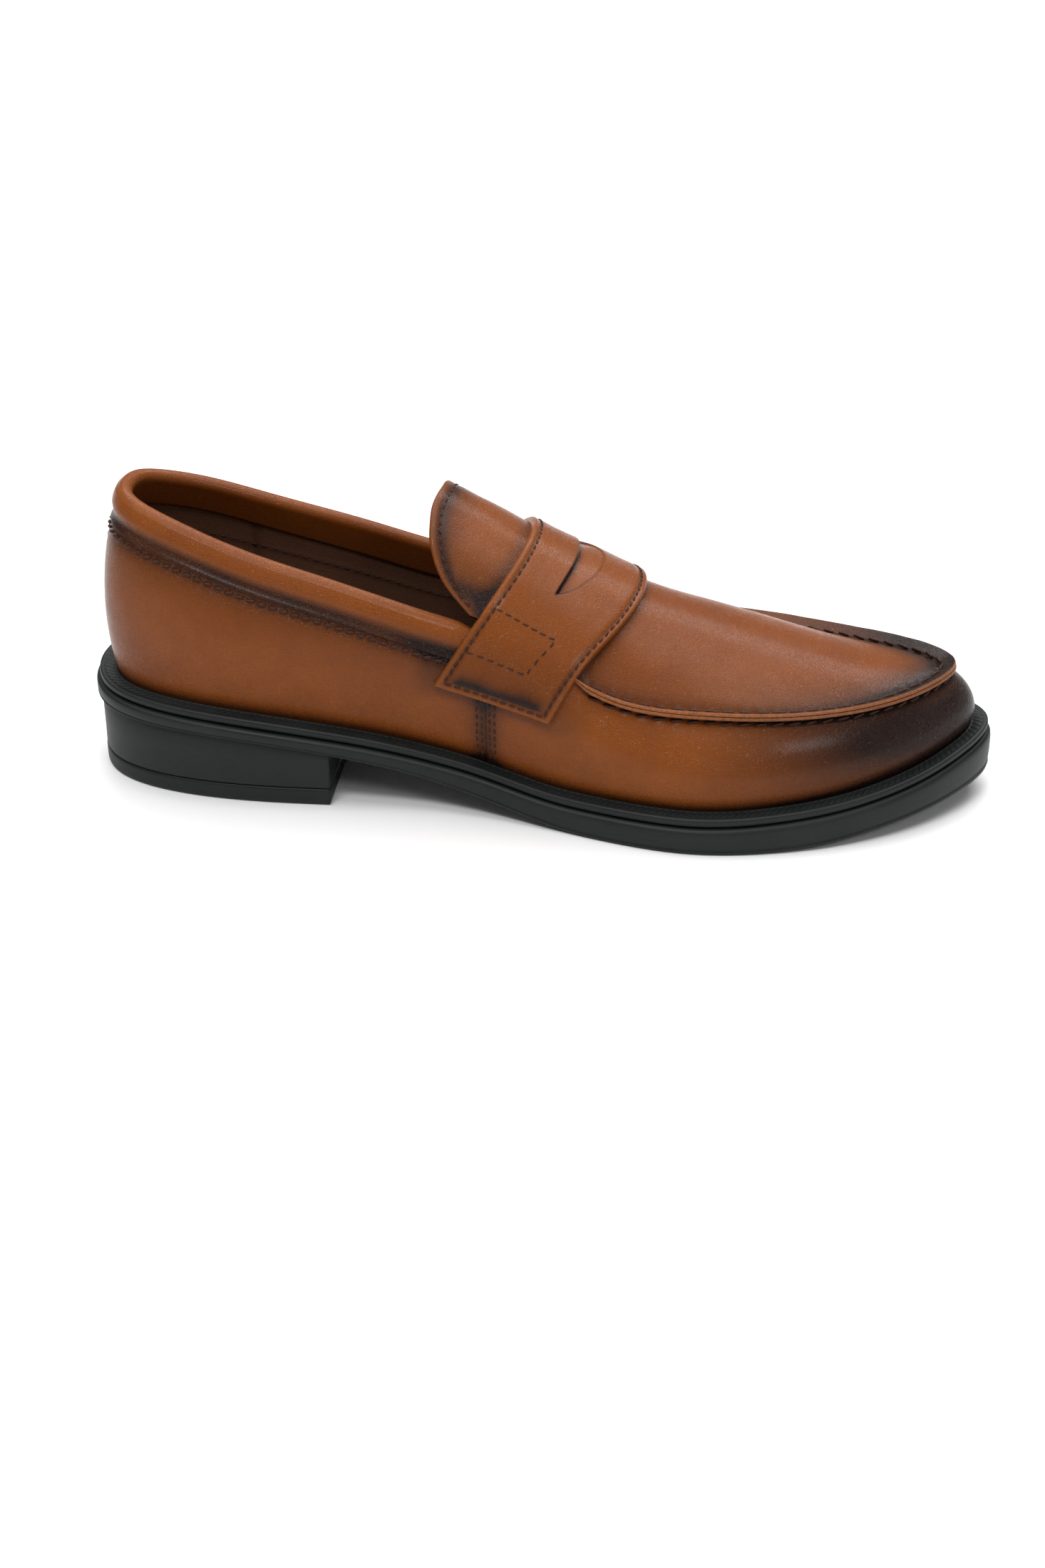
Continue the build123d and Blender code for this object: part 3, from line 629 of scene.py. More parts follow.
def build_vamp():
    u = np.linspace(SEAM_INNER - 0.02, SEAM_OUTER + 0.02, 900)[:, None]
    t = np.linspace(0, 1, 46)[None, :] ** 0.9
    out, up = wall_point(u, t)
    s_in = (ring_length(u) - ring_length(SEAM_INNER)) * np.ones_like(t)
    s_out = (ring_length(SEAM_OUTER) - ring_length(u)) * np.ones_like(t)
    near = np.minimum(s_in, s_out)
    raise_edge = 0.55 * np.exp(-np.maximum(near, 0) / 7) * smoothstep(-0.6, 0.3, near)
    raise_edge = raise_edge - 0.9 * smoothstep(0.4, -0.8, near)
    pucker = 0.34 * stitch_pucker(u) * smoothstep(0.9, 0.98, t) * lip_share(u)
    out = out + raise_edge - pucker
    foot = np.stack([0 * u + 0.0, 0 * u - 2.4], -1)
    body = np.stack([out, up], -1)
    s = ring_length(u)
    length = FLANGE_LENGTH + 0.12 * wobble(s, 0.7, 6)
    route = [(1.4, 1.2), (2.1, 1.25), (length - 0.5, 1.25), (length - 0.15, 1.2), (length, 1.0),
             (length + 0.03, 0.6), (length, 0.16), (length - 0.12, 0.07), (length - 1.6, 0.06)]
    edge = []
    for along_it, across in route:
        out_step, up_step = flange(u, along_it, across)
        edge.append(np.stack([out_step - station(3, u), up[:, -1:] + up_step], -1))
    edge = np.concatenate(edge, 1)
    section = np.concatenate([foot, body, edge], 1)
    points = placed(u, section[..., 0], section[..., 1])
    k = np.arange(points.shape[1])
    first_edge = 1 + t.shape[1]
    raw = np.where((k >= first_edge + 4) & (k <= first_edge + 6), 0.6, 0.0)[None, :] * lip_share(u)
    t_all = np.concatenate([[0], t[0], np.ones(edge.shape[1])])[None, :]
    burnish = wall_burnish(points)
    seam = np.minimum(np.abs(points[..., 0] - SEAM_X), 60)
    burnish += 0.75 * bell(seam, 0, 3.4)
    burnish += (0.45 + 0.35 * smoothstep(60, 115, points[..., 0])) * bell(t_all, 1.0, 0.035) * lip_share(u)
    # painted shade where the vamp goes under the strap
    burnish += 0.3 * shade_under_strap(points)
    piece = shell("vamp_leather", points, burnish=burnish, raw=raw, flip=True)
    dress(piece, tan, "upper_leather", "vamp")


def quarter(name, first, last, node):
    u = np.linspace(first, last, 620)[:, None]
    low = collar_t(u, COLLAR_HEIGHT) + 0.012
    t = np.linspace(0, 1, 44)[None, :] * low
    out, up = wall_point(u, t)
    to_top = (low - t) * 60
    out = out - 0.9 * smoothstep(1.6, 0.0, to_top) - 0.25 * bell(to_top, 3.2, 1.2)
    heel_gap = np.minimum(np.abs(u), np.abs(u - COUNT)) * 18
    out = out - 0.55 * bell(heel_gap, 0, 0.7)
    foot = np.stack([0 * u, 0 * u - 2.4], -1)
    section = np.concatenate([foot, np.stack([out, up], -1)], 1)
    points = placed(u, section[..., 0], section[..., 1])
    t_all = np.concatenate([0 * u, t], 1)
    drop = (low - t_all) * 55
    # painted shade on the top of the quarter, just below the overhanging collar roll
    burnish = wall_burnish(points) + 0.55 * bell(drop, 0, 3.4) + 0.25 * bell(drop, 2, 9)
    burnish += 0.75 * bell(points[..., 0], SEAM_X, 3.4) + 0.3 * bell(heel_gap, 0, 4)
    # painted shade where the quarter goes under the strap
    burnish += 0.3 * shade_under_strap(points)
    piece = shell(name, points, burnish=burnish, raw=0.0, flip=True)
    dress(piece, tan, "upper_leather", node)


build_vamp()
quarter("inner_quarter_leather", 0.0, float(inner_side(SEAM_X + 3)), "inner_quarter")
quarter("outer_quarter_leather", float(outer_side(SEAM_X + 3)), float(COUNT), "outer_quarter")


# ---- padded collar ----
COLLAR_END_X = -10.0


def build_collar():
    u = round_heel(COLLAR_END_X, 900)[:, None]
    flat = smoothstep(-25, -15, station(0, u))
    half = COLLAR_HALF * (1 - 0.55 * flat) + 0.1 * wobble(ring_length(u), 3.1, 16)
    proud = 1.1 - 1.25 * flat
    middle = half - proud
    low, high = collar_t(u, COLLAR_HEIGHT), collar_t(u, COLLAR_HALF)
    rise = np.linspace(0, 1, 22)[None, :]
    t = low + (high - low) * rise
    belly = 0.55 * bell(rise, 0.78, 0.26) - 1.5 * bell(rise, 0.2, 0.17)
    out1, up1 = wall_point(u, t, middle - half)
    out1 = out1 + belly * (1 - flat)
    out2, up2 = wall_point(u, t[:, ::-1], middle + half)
    cx, cz = wall_point(u, high, middle)
    start = np.arctan2(up1[:, -1:] - cz, out1[:, -1:] - cx)
    turn = np.linspace(0, np.pi, 14)[None, 1:-1]
    cap_out, cap_up = cx + half * np.cos(start + turn), cz + half * np.sin(start + turn)
    tuck1 = wall_point(u, low - 0.012, 0.9)
    tuck2 = wall_point(u, low - 0.03, LINING_DEPTH - 0.2)
    out = np.concatenate([tuck1[0], out1, cap_out, out2, tuck2[0]], 1)
    up = np.concatenate([tuck1[1], up1, cap_up, up2, tuck2[1]], 1)
    points = placed(u, out, up)
    # painted shade on the collar's lower part, where it tucks in under the roll, deeper towards the strap
    neck_shade = (0.85 + 0.1 * wobble(ring_length(u), 0.4, 14)) * smoothstep(0.56, 0.16, rise)
    neck_shade = neck_shade + 0.22 * smoothstep(-60, -24, station(0, u)) * smoothstep(0.9, 0.4, rise)
    # painted shade on the collar's inner face, deepening into the shoe
    inner = np.full((len(u), out.shape[1] - rise.shape[1] - 1), 0.35)
    inner = inner * np.linspace(0, 1.4, inner.shape[1])[None, :]
    burnish = np.concatenate([neck_shade[:, :1], neck_shade, inner], 1)
    piece = shell("collar_padding", points, burnish=burnish, raw=0.0, flip=True)
    dress(piece, tan, "upper_leather", "collar_band")


build_collar()


# ---- apron ----
APRON_REAR_X = -15.0


def inward_grid(rx, ry, sx, sy, f):
    """Plan points a share f of the way from the rim (rx, ry) to the middle: (x, y, distance)."""
    x, y = rx + (sx - rx) * f, ry + (sy - ry) * f
    return x, y, np.hypot(x - rx, y - ry)


def fan(u, first_inset, count, bend=1.0):
    """Plan points from the rim in to the middle line: (x, y, distance from the rim)."""
    ox, oy = outward(u)
    rx = station(0, u) - ox * (station(3, u) + first_inset)
    ry = station(1, u) - oy * (station(3, u) + first_inset)
    sx = np.where(rx > 70, 70 + (rx - 70) * 0.42, rx)
    sy = ridge_y(sx)
    return inward_grid(rx, ry, sx, sy, np.linspace(0, 1, count)[None, :] ** bend)


def build_apron():
    u = across_toe(APRON_REAR_X, 1000)[:, None]
    x, y, inward = fan(u, 2.7, 72, 1.3)
    base = rim_height(u) - lip(u)
    present = lip_share(u)
    difference = base + 1.0 * present - arch_under(x[:, :1], y[:, :1])
    z = arch_under(x, y) + difference * np.exp(-(inward / 13) ** 2)
    pucker = stitch_pucker(u)
    z = z - 0.35 * present * (0.35 + 0.65 * pucker) * bell(inward, 0.2, 0.9)
    z = z + 0.12 * present * bell(inward, 3.4, 1.8)
    s = ring_length(u)
    length = FLANGE_LENGTH + 0.15 + 0.12 * wobble(s, 1.9, 7)
    route = [(length - 1.6, -0.06), (length - 0.12, -0.07), (length, -0.16), (length + 0.03, -0.6),
             (length, -1.0), (length - 0.15, -1.2), (length - 0.5, -1.25)]
    route += [(along_it, -1.27) for along_it in (3.0, 2.2, 1.4, 0.7, 0.1)] + [(-0.35, -1.22)]
    ox, oy = outward(u)
    lip_points = []
    for along_it, across in route:
        out_step, up_step = flange(u, along_it, across)
        px = station(0, u) + ox * (out_step - station(3, u))
        py = station(1, u) + oy * (out_step - station(3, u))
        lip_points.append(np.stack([px, py, base + up_step], -1))
    points = np.concatenate([*lip_points, np.stack([x, y, z], -1)], 1)
    columns = points.shape[1]
    k = np.arange(columns)
    raw = np.where((k >= 2) & (k <= 4), 0.7, 0.0)[None, :] * present
    deep = np.concatenate([np.zeros((len(u), len(route))), inward], 1)
    at_x = points[..., 0]
    toe = smoothstep(55, 125, at_x)
    on_flange = (k < len(route))[None, :]
    burnish = present * ((0.35 + 0.5 * toe) * on_flange + 0.3 * bell(deep, 0, 1.6) * ~on_flange)
    burnish += (present * (0.2 + 0.6 * toe) * bell(deep, 0, 7.0) * ~on_flange
                + 0.16 * smoothstep(100, 132, at_x))
    # painted shade along the strap's front edge, where the apron runs under it
    burnish += 0.3 * bell(side_distance(points), 0, 3.5)
    piece = shell("apron_leather", points, burnish=burnish, raw=raw, flip=True)
    dress(piece, tan, "upper_leather", "apron", "apron_edge")


def strap_front_x(z):
    return along([(b, a) for a, b in STRAP_FRONT], z)


def strap_rear_x(z):
    return along([(b, a) for a, b in STRAP_REAR], z)


def side_distance(points):
    """How far points lie ahead of the strap's front edge, seen from the side."""
    return points[..., 0] - strap_front_x(points[..., 2])


build_apron()


# ---- saddle strap ----
SADDLE_X = np.arange(-46, 56.1, 1.0)
SADDLE_W = np.linspace(-1.98, 1.98, 265)


def saddle_table():
    """(y, z) of the upper over the instep, eased where the arch meets the walls."""
    x, w = SADDLE_X[:, None], SADDLE_W[None, :]
    middle = ridge_y(x)
    edge = np.where(w > 0, arch_outer(x), arch_inner(x))
    v = np.clip(np.abs(w), 0, 1)
    arch_y = middle + v * (edge - middle)
    arch_z = ridge(x) - arch_drop(x) * v ** ARCH_POWER
    u = np.where(w > 0, outer_side(x), inner_side(x))
    t = np.clip(2 - np.abs(w), 0, 1)
    out, up = wall_point(u, t)
    wall = placed(u, out, up)
    on_arch = np.abs(w) <= 1
    y = np.where(on_arch, arch_y, wall[..., 1])
    z = np.where(on_arch, arch_z, wall[..., 2])
    reach = 40
    kernel = np.exp(-0.5 * (np.arange(-reach, reach + 1) / 13.0) ** 2)
    kernel /= kernel.sum()
    eased_here = np.exp(-((np.abs(SADDLE_W) - 1) / 0.42) ** 4)
    for table in (y, z):
        for row in table:
            ends = np.pad(row, reach, mode="reflect", reflect_type="odd")
            smooth = np.convolve(ends, kernel, mode="valid")
            row[:] = smooth * eased_here + row * (1 - eased_here)
    return y, z


SADDLE_Y, SADDLE_Z = saddle_table()


def from_table(table, x, w):
    i = np.clip((x - SADDLE_X[0]) / 1.0, 0, len(SADDLE_X) - 1.001)
    j = np.clip((w - SADDLE_W[0]) / (SADDLE_W[1] - SADDLE_W[0]), 0, len(SADDLE_W) - 1.001)
    a, b = np.floor(i).astype(int), np.floor(j).astype(int)
    p, q = i - a, j - b
    return ((1 - p) * (1 - q) * table[a, b] + p * (1 - q) * table[a + 1, b]
            + (1 - p) * q * table[a, b + 1] + p * q * table[a + 1, b + 1])


def w_at_height(x, z, side):
    """Saddle parameter where the surface at x has this height, on one side."""
    low, high = np.zeros_like(x), np.full_like(x, 1.95)
    for _ in range(30):
        mid = (low + high) / 2
        above = from_table(SADDLE_Z, x, side * mid) > z
        low, high = np.where(above, mid, low), np.where(above, high, mid)
    return side * low


def strap_position(a, q):
    """(x, w) on the strap: a = 0 rear to 1 front, q = -1 inner hem to 1 outer hem."""
    hem_x = HEM_REAR[0] + (HEM_FRONT[0] - HEM_REAR[0]) * a
    hem_z = HEM_REAR[1] + (HEM_FRONT[1] - HEM_REAR[1]) * a
    w_inner = w_at_height(hem_x, hem_z, -1)
    w_outer = w_at_height(hem_x, hem_z, 1)
    w = np.where(q < 0, -q * w_inner, q * w_outer)
    x = hem_x + (20 - hem_x) * (1 - np.abs(q))
    for _ in range(60):
        z = from_table(SADDLE_Z, x, w)
        rear, front = strap_rear_x(z), strap_front_x(z)
        x = 0.6 * x + 0.4 * (rear + a * (front - rear))
    return x, w


def packed_ends(count, ends, share):
    """0 to 1 with extra samples near both ends."""
    middle = np.linspace(share, 1 - share, count)
    near = share * np.linspace(0, 1, ends, endpoint=False) ** 1.6
    return np.concatenate([near, middle, 1 - near[::-1]])


def slot_middle():
    return float(ridge_y(SLOT_X))


def slot_rear(y):
    across = (y - slot_middle()) / SLOT_HALF_LENGTH
    return SLOT_END_X + (SLOT_X - SLOT_END_X) * np.clip(1 - across ** 2, 0, 1)


def slot_shape(x, y):
    """Positive inside the crescent coin slot, in mm from its edge."""
    across = (y - slot_middle()) / SLOT_HALF_LENGTH
    bow = np.clip(1 - across ** 2, 0, 1)
    front = SLOT_END_X + (SLOT_X + SLOT_DEPTH - SLOT_END_X) * bow ** 0.7
    inside = -np.logaddexp(-1.6 * (x - slot_rear(y)), -1.6 * (front - x)) / 1.6
    beyond = np.hypot(x - SLOT_END_X, (np.abs(across) - 1) * SLOT_HALF_LENGTH)
    return np.where(np.abs(across) < 1, inside, -beyond)


STRAP_LIFT = 0.5
ROW_INSET = 2.7          # stitch rows in from the strap's edges


def build_strap():
    a = packed_ends(150, 10, 0.045)[:, None]
    q = (packed_ends(440, 10, 0.012) * 2 - 1)[None, :]
    a, q = np.broadcast_arrays(a, q)
    x, w = strap_position(a.copy(), q.copy())
    y, z = from_table(SADDLE_Y, x, w), from_table(SADDLE_Z, x, w)
    base = np.stack([x, y, z], -1)
    normal = -grid_normals(base)
    normal *= np.sign(normal[normal.shape[0] // 2, normal.shape[1] // 2, 2])
    width = np.linalg.norm(np.diff(base, axis=0), axis=-1)
    from_rear = np.concatenate([np.zeros((1, width.shape[1])), np.cumsum(width, 0)])
    run = np.linalg.norm(np.diff(base, axis=1), axis=-1)
    from_inner = np.concatenate([np.zeros((run.shape[0], 1)), np.cumsum(run, 1)], 1)
    to_front = from_rear[-1:] - from_rear
    to_outer = from_inner[:, -1:] - from_inner
    edge = np.minimum(np.minimum(from_rear, to_front), np.minimum(from_inner, to_outer))
    roll = 1.1
    height = STRAP_THICK * np.sqrt(np.clip(1 - (1 - np.clip(edge / roll, 0, 1)) ** 2, 0, 1))
    height = height - 0.2 * bell(edge, ROW_INSET, 0.7) + 0.1 * bell(edge, ROW_INSET + 2.4, 1.6)
    slot = slot_shape(x, y)
    toward_front = smoothstep(0, 1, (x - slot_rear(y)) / SLOT_DEPTH)
    floor_height = STRAP_THICK - 1.5 * (1 - toward_front) - 0.3
    height = height + (floor_height - height) * smoothstep(-0.25, 0.2, slot)
    height -= 0.25 * bell(slot, 0.05, 0.22)
    height += 0.12 * wobble(from_inner, 2.2, 22) * np.clip(edge / 6, 0, 1)
    points = base + normal * (STRAP_LIFT + height)[..., None]
    near_hem = np.minimum(from_inner, to_outer)
    # painted shadow in the coin slot, along its rear edge and on the slot floor just below that edge
    slot_shade = ((1 - 0.8 * toward_front) * bell(slot, 0.0, 0.4)
                 + 0.3 * bell(slot, 0.7, 0.7) * (1 - toward_front))
    # painted shade in the grooves of the stitch rows, plus the slot's painted shadow
    burnish = 0.4 * bell(edge, ROW_INSET, 0.6) + slot_shade
    above_row = near_hem - ROW_INSET - 0.3
    between = smoothstep(ROW_INSET - 1, ROW_INSET + 5, np.minimum(from_rear, to_front))
    fade = 3.6 + 0.7 * wobble(from_rear, 1.3, 5)
    fading = np.exp(-(np.maximum(above_row, 0) / fade) ** 1.7)
    burnish += 1.15 * smoothstep(0, 0.9, above_row) * fading * between
    burnish += 0.25 * bell(near_hem, 11, 7)
    raw = 0.16 * bell(edge, 0.6, 0.8)
    piece = shell("strap_leather", points, burnish=burnish, raw=raw, flip=False)
    dress(piece, tan, "upper_leather", "saddle_strap")


build_strap()


# ---- tongue ----
TONGUE_THICK = 2.3
TONGUE_UNDER = 9.0       # how far the tongue runs in under the strap


def build_tongue():
    y = np.linspace(-28.6, 35.6, 240)[:, None]
    rear = np.interp(y, [p[1] for p in TONGUE_EDGE], [p[0] for p in TONGUE_EDGE])
    kernel = np.exp(-0.5 * (np.arange(-20, 21) / 8.0) ** 2)
    padded = np.pad(rear[:, 0], 20, mode="reflect", reflect_type="odd")
    rear = np.convolve(padded, kernel / kernel.sum(), mode="valid")[:, None]
    front = rear + 5
    for _ in range(40):
        front = 0.6 * front + 0.4 * (strap_rear_x(arch_under(front, y)) + TONGUE_UNDER)
    f = np.linspace(1, 0, 70)[None, :]
    x = rear + 0.9 + (front - rear - 0.9) * f
    top = arch_under(x, y) + 0.45
    top_points = np.stack([x, y + 0 * x, top], -1)
    normal = grid_normals(top_points)
    normal *= np.sign(normal[120, 35, 2])
    curl = smoothstep(12, 0, x - rear)
    top_points = top_points + normal * (0.9 * curl - 0.25 * bell(x - rear, 3.4, 0.8))[..., None]
    half = TONGUE_THICK / 2
    back = top_points[:, -1:, :]
    back_normal = normal[:, -1:, :]
    heading = top_points[:, -1:, :] - top_points[:, -2:-1, :]
    heading /= np.linalg.norm(heading, axis=-1, keepdims=True)
    angles = np.linspace(0, np.pi, 12)[1:-1]
    rounds = [back - back_normal * half + half * (back_normal * math.cos(a) + 0.85 * heading * math.sin(a))
              for a in angles]
    under = (top_points - normal * TONGUE_THICK)[:, ::-1]
    points = np.concatenate([top_points, *rounds, under], 1)
    count = top_points.shape[1]
    k = np.arange(points.shape[1])[None, :]
    into = np.concatenate([x - rear, np.zeros((len(y), len(angles))), (x - rear)[:, ::-1]], 1)
    side = np.minimum(y + 28.6, 35.6 - y)
    rim = np.minimum(into, side * 0.9 + 0.5)
    burnish = 0.5 * bell(rim, 3.8, 1.6) + 0.4 * bell(rim, 5, 5) + 0.8 * (k > count + 5)
    # painted shade where the tongue runs under the strap's rear edge
    burnish += 0.5 * bell(points[..., 0] - strap_rear_x(points[..., 2]), 0, 3)
    raw = 0.12 * ((k >= count - 2) & (k <= count + 4))
    piece = shell("tongue_leather", points, body=None, burnish=burnish, raw=raw + 0 * into, flip=False)
    dress(piece, tan, "upper_leather", "tongue", "tongue_lining")
    return piece, top_points, normal, rear


tongue, tongue_top, tongue_normal, tongue_rear = build_tongue()

# ---- linings and sock ----


def build_linings():
    u = np.linspace(0, COUNT, 900, endpoint=False)[:, None]
    at_x = station(0, u)
    closed = smoothstep(-30, -12, at_x)
    low = collar_t(u, COLLAR_HEIGHT) - 0.01
    high = low + (1.0 - low) * closed
    t = 0.02 + (high - 0.02) * np.linspace(0, 1, 40)[None, :]
    drop = (high - t) * 55
    groove = 0.3 * bell(drop, 9.0, 0.5) * (1 - closed)
    seam = np.minimum(np.abs(at_x - LINING_SEAM_X), 30)
    out, up = wall_point(u, t, LINING_DEPTH + groove - 0.35 * bell(seam, 1.2, 0.8))
    points = placed(u, out, up)
    # painted shade in the lining's stitched groove; the seam line is darker too
    burnish = 0.25 + 0.5 * bell(seam, 0, 0.8) + 0.5 * bell(drop, 9, 0.7) + 0 * up
    piece = shell("lining_walls", points, closed=True, burnish=burnish, raw=0.0)
    dress(piece, lining_leather, "lining_leather",
          "vamp_lining", "inner_lining", "outer_lining", "heel_lining")
    u = across_toe(APRON_REAR_X, 400)[:, None]
    x, y, inward = fan(u, 2.0, 30)
    z = arch_under(x, y) - 3.0
    z = np.minimum(z, rim_height(u) - lip(u) - 1.6 + inward * 0.9)
    top = shell("lining_roof", np.stack([x, y, z], -1), burnish=0.3, raw=0.0)
    dress(top, lining_leather, "lining_leather", "apron_lining")


SOLE_MIDDLE_X = (-118, 112)      # ends of the sole's middle line
SOLE_MIDDLE_Y = 2.5


def build_sock():
    u = np.linspace(0, COUNT, 700, endpoint=False)[:, None]
    ox, oy = outward(u)
    rx, ry = station(0, u) - ox * 3.2, station(1, u) - oy * 3.2
    sx = np.clip(rx, *SOLE_MIDDLE_X)
    x, y, inward = inward_grid(rx, ry, sx, SOLE_MIDDLE_Y, np.linspace(0, 1, 40)[None, :] ** 0.8)
    top = feather(x) - WELT_THICK + sock_raise(x)
    z = top + 0.9 * np.exp(-inward / 4) - 0.9 * bell(np.hypot((x + 112) / 2, y - 2), 0, 9)
    piece = shell("sock_liner_cloth", np.stack([x, y, z], -1), closed=True)
    dress(piece, sock_cloth, "sock", "sock_liner")


build_linings()
build_sock()


# ---- sole ----
def ring(profile, count, name, relief=None):
    """Sweep round the sole. profile holds (out beyond the feather line, height as a function of x)."""
    u = np.linspace(0, COUNT, count, endpoint=False)[:, None]
    ox, oy = outward(u)
    columns = []
    for out, height in profile:
        x, y = station(0, u) + ox * out, station(1, u) + oy * out
        z = height(x)
        if relief:
            z = z + relief(u, out)
        columns.append(np.stack([x, y, z], -1))
    return shell(name, np.concatenate(columns, 1), closed=True, flip=True)


RIB_PITCH = 2.3
TREAD_PITCH = 5.0
HEEL_CENTRE = (-105.0, 2.0)


def welt_ribs(u, out):
    """Slanted ribs pressed into the welt's inner half."""
    zone = smoothstep(0.9, 1.5, out) * smoothstep(4.3, 3.6, out)
    wave = 0.5 + 0.5 * np.cos(2 * np.pi * (ring_length(u) / RIB_PITCH + out * 0.28))
    return 0.42 * zone * (wave ** 0.7 - 0.55)


def build_welt():
    def at(drop):
        return lambda x: feather(x) - drop

    w = WELT_WIDTH
    profile = [(-1.5, at(0.6)), (0.0, at(0.25)), (0.25, at(-0.15)), (0.6, at(-0.2)), (0.85, at(0.1))]
    profile += [(out, at(0.12)) for out in np.arange(1.1, 4.2, 0.28)]
    profile += [(4.4, at(0.05)), (4.9, at(0.0)), (w - 0.7, at(0.02)), (w - 0.25, at(0.16)),
                (w, at(0.5)), (w + 0.1, at(1.1)), (w + 0.1, at(1.8)), (w - 0.1, at(2.4)),
                (w - 0.6, at(2.8)), (w - 1.4, at(3.0)), (w - 2.5, at(3.1))]
    piece = ring(profile, 2600, "welt_rubber", relief=welt_ribs)
    dress(piece, rubber, "sole_rubber", "welt")


def build_outsole():
    w = WELT_WIDTH + SOLE_BULGE

    def mix(share, drop=0.0):
        """Height between the outsole's top (share 0) and its underside (share 1)."""
        return lambda x: (feather(x) - WELT_THICK) * (1 - share) + underside(x) * share - drop

    profile = [(w - 4.5, mix(0, 0.1)), (w - 2.3, mix(0, 0.1)), (w - 1.4, mix(0, 0.2)),
               (w - 0.7, mix(0.03, 0.3)), (w - 0.25, mix(0.1, 0.3)), (w - 0.05, mix(0.22)),
               (w, mix(0.4)), (w - 0.02, mix(0.6)), (w - 0.12, mix(0.74)), (w - 0.3, mix(0.8)),
               (w - 0.34, mix(0.835)), (w - 0.1, mix(0.86)), (w - 0.06, mix(0.9)),
               (w - 0.3, mix(0.96)), (w - 0.8, mix(0.99)), (w - 1.6, mix(1.0)), (w - 4.0, mix(1.0))]
    side = ring(profile, 1400, "outsole_side")
    dress(side, rubber, "sole_rubber", "outsole")
    u = np.linspace(0, COUNT, 700, endpoint=False)[:, None]
    ox, oy = outward(u)
    rx, ry = station(0, u) + ox * (w - 3.9), station(1, u) + oy * (w - 3.9)
    sx = np.clip(rx, *SOLE_MIDDLE_X)
    x, y, inward = inward_grid(rx, ry, sx, SOLE_MIDDLE_Y, np.linspace(0, 1, 60)[None, :])
    waist = smoothstep(-52, -30, x) * smoothstep(8, -14, x)
    wave = 0.5 + 0.5 * np.cos(2 * np.pi * x / TREAD_PITCH + 0.9 * np.sin(y / 6))
    tread = 0.7 * smoothstep(0.35, 0.65, wave) * smoothstep(3, 5, inward) * (1 - waist) * (x > -40)
    z = underside(x) + tread
    bottom = shell("outsole_tread", np.stack([x, y, z], -1), closed=True, flip=True)
    dress(bottom, rubber, "sole_rubber")


def heel_outline(inset):
    """Closed plan of the heel, from the breast round the back and across."""
    u = round_heel(HEEL_BREAST_X, 300)
    out = WELT_WIDTH + SOLE_BULGE - HEEL_TAPER - inset
    ox, oy = outward(u)
    curve = np.stack([station(0, u) + ox * out, station(1, u) + oy * out], -1)
    curve[:, 0] = np.minimum(curve[:, 0], HEEL_BREAST_X - inset)
    across = np.linspace(0, 1, 40)[1:-1, None]
    breast = curve[-1] * (1 - across) + curve[0] * across
    return np.concatenate([curve, breast])


def heel_stack(name, levels, node, patterned=False):
    """Heel lift or block from (inset, height) levels, with filled ends."""
    rows = []
    for inset, height in levels:
        plan = heel_outline(inset)
        z = height(plan[:, 0]) if callable(height) else np.full(len(plan), float(height))
        rows.append(np.column_stack([plan, z]))
    points = np.stack(rows, 1)
    cap = points[:, -1:]
    centre = np.array([[*HEEL_CENTRE, cap[..., 2].mean()]])
    fill = [cap * (1 - f) + centre * f for f in np.linspace(0.05, 1, 24)]
    foot = points[:, :1]
    floor_centre = np.array([[*HEEL_CENTRE, foot[..., 2].mean()]])
    below = [foot * (1 - f) + floor_centre * f for f in np.linspace(1, 0.05, 24)]
    if patterned:
        for layer in below:
            wave = np.cos(2 * np.pi * layer[..., 0] / TREAD_PITCH)
            layer[..., 2] += 0.6 * smoothstep(0.2, 0.5, wave)
    piece = shell(name, np.concatenate([*below, points, *fill], 1), closed=True, flip=False)
    dress(piece, rubber, "sole_rubber", node)


def build_heel():
    heel_stack("heel_lift_rubber", [(0.9, 0.0), (0.35, 0.25), (0.05, 0.8), (0, 1.6), (0, 4.9), (0.15, 5.6),
                                    (0.6, 5.95)], "top_lift", patterned=True)
    heel_stack("heel_block_rubber", [(0.7, 6.05), (0.2, 6.4), (0.1, 7.2), (0.1, 12.0), (0.05, 16.0),
                                     (0.0, lambda x: underside(x) - 0.6),
                                     (0.3, lambda x: underside(x) - 0.1)],
               "heel_block")


build_welt()
build_outsole()
build_heel()


# ---- stitching ----
def wall_row(us, ts, lift=0.0):
    """Path on the wall and its surface normals."""
    out, up = wall_point(us, ts, -lift)
    inner_out, inner_up = wall_point(us, ts, 1.0 - lift)
    path, inner = placed(us, out, up), placed(us, inner_out, inner_up)
    normal = path - inner
    return path, normal / np.linalg.norm(normal, axis=-1, keepdims=True)


def build_seam_threads():
    us = across_toe(19, 1500)
    drop = 1.0 / (rim_height(us) - feather(station(0, us)))
    path, normal = wall_row(us, 1 - drop, 0.05)
    thread("seam_thread_outer", [path], [normal], length=SEAM_STITCH, pitch=SEAM_PITCH, radius=0.46,
           seed=0.4, tilt=0.16)
    out, up = wall_point(us, np.ones_like(us))
    out_step, up_step = flange(us, -0.1, -1.35)
    inside = placed(us, out + out_step, up + up_step)
    ox, oy = outward(us)
    back = np.stack([-0.35 * ox, -0.35 * oy, 0.94 + 0 * ox], -1)
    thread("seam_thread_inner", [inside], [back], length=SEAM_STITCH, pitch=SEAM_PITCH, radius=0.44,
           seed=1.4, tilt=-0.16)


def build_side_threads():
    paths, normals = [], []
    for find in (inner_side, outer_side):
        for dx, lift in ((-2.9, -0.1), (-1.3, -0.1), (1.4, 0.35), (3.0, 0.3)):
            us = np.full(30, float(find(SEAM_X + dx)))
            path, normal = wall_row(us, np.linspace(0.05, 0.5, 30), lift)
            paths.append(path)
            normals.append(normal)
    thread("side_seam_thread", paths, normals, length=1.9, pitch=2.7, radius=0.3, seed=2.0)


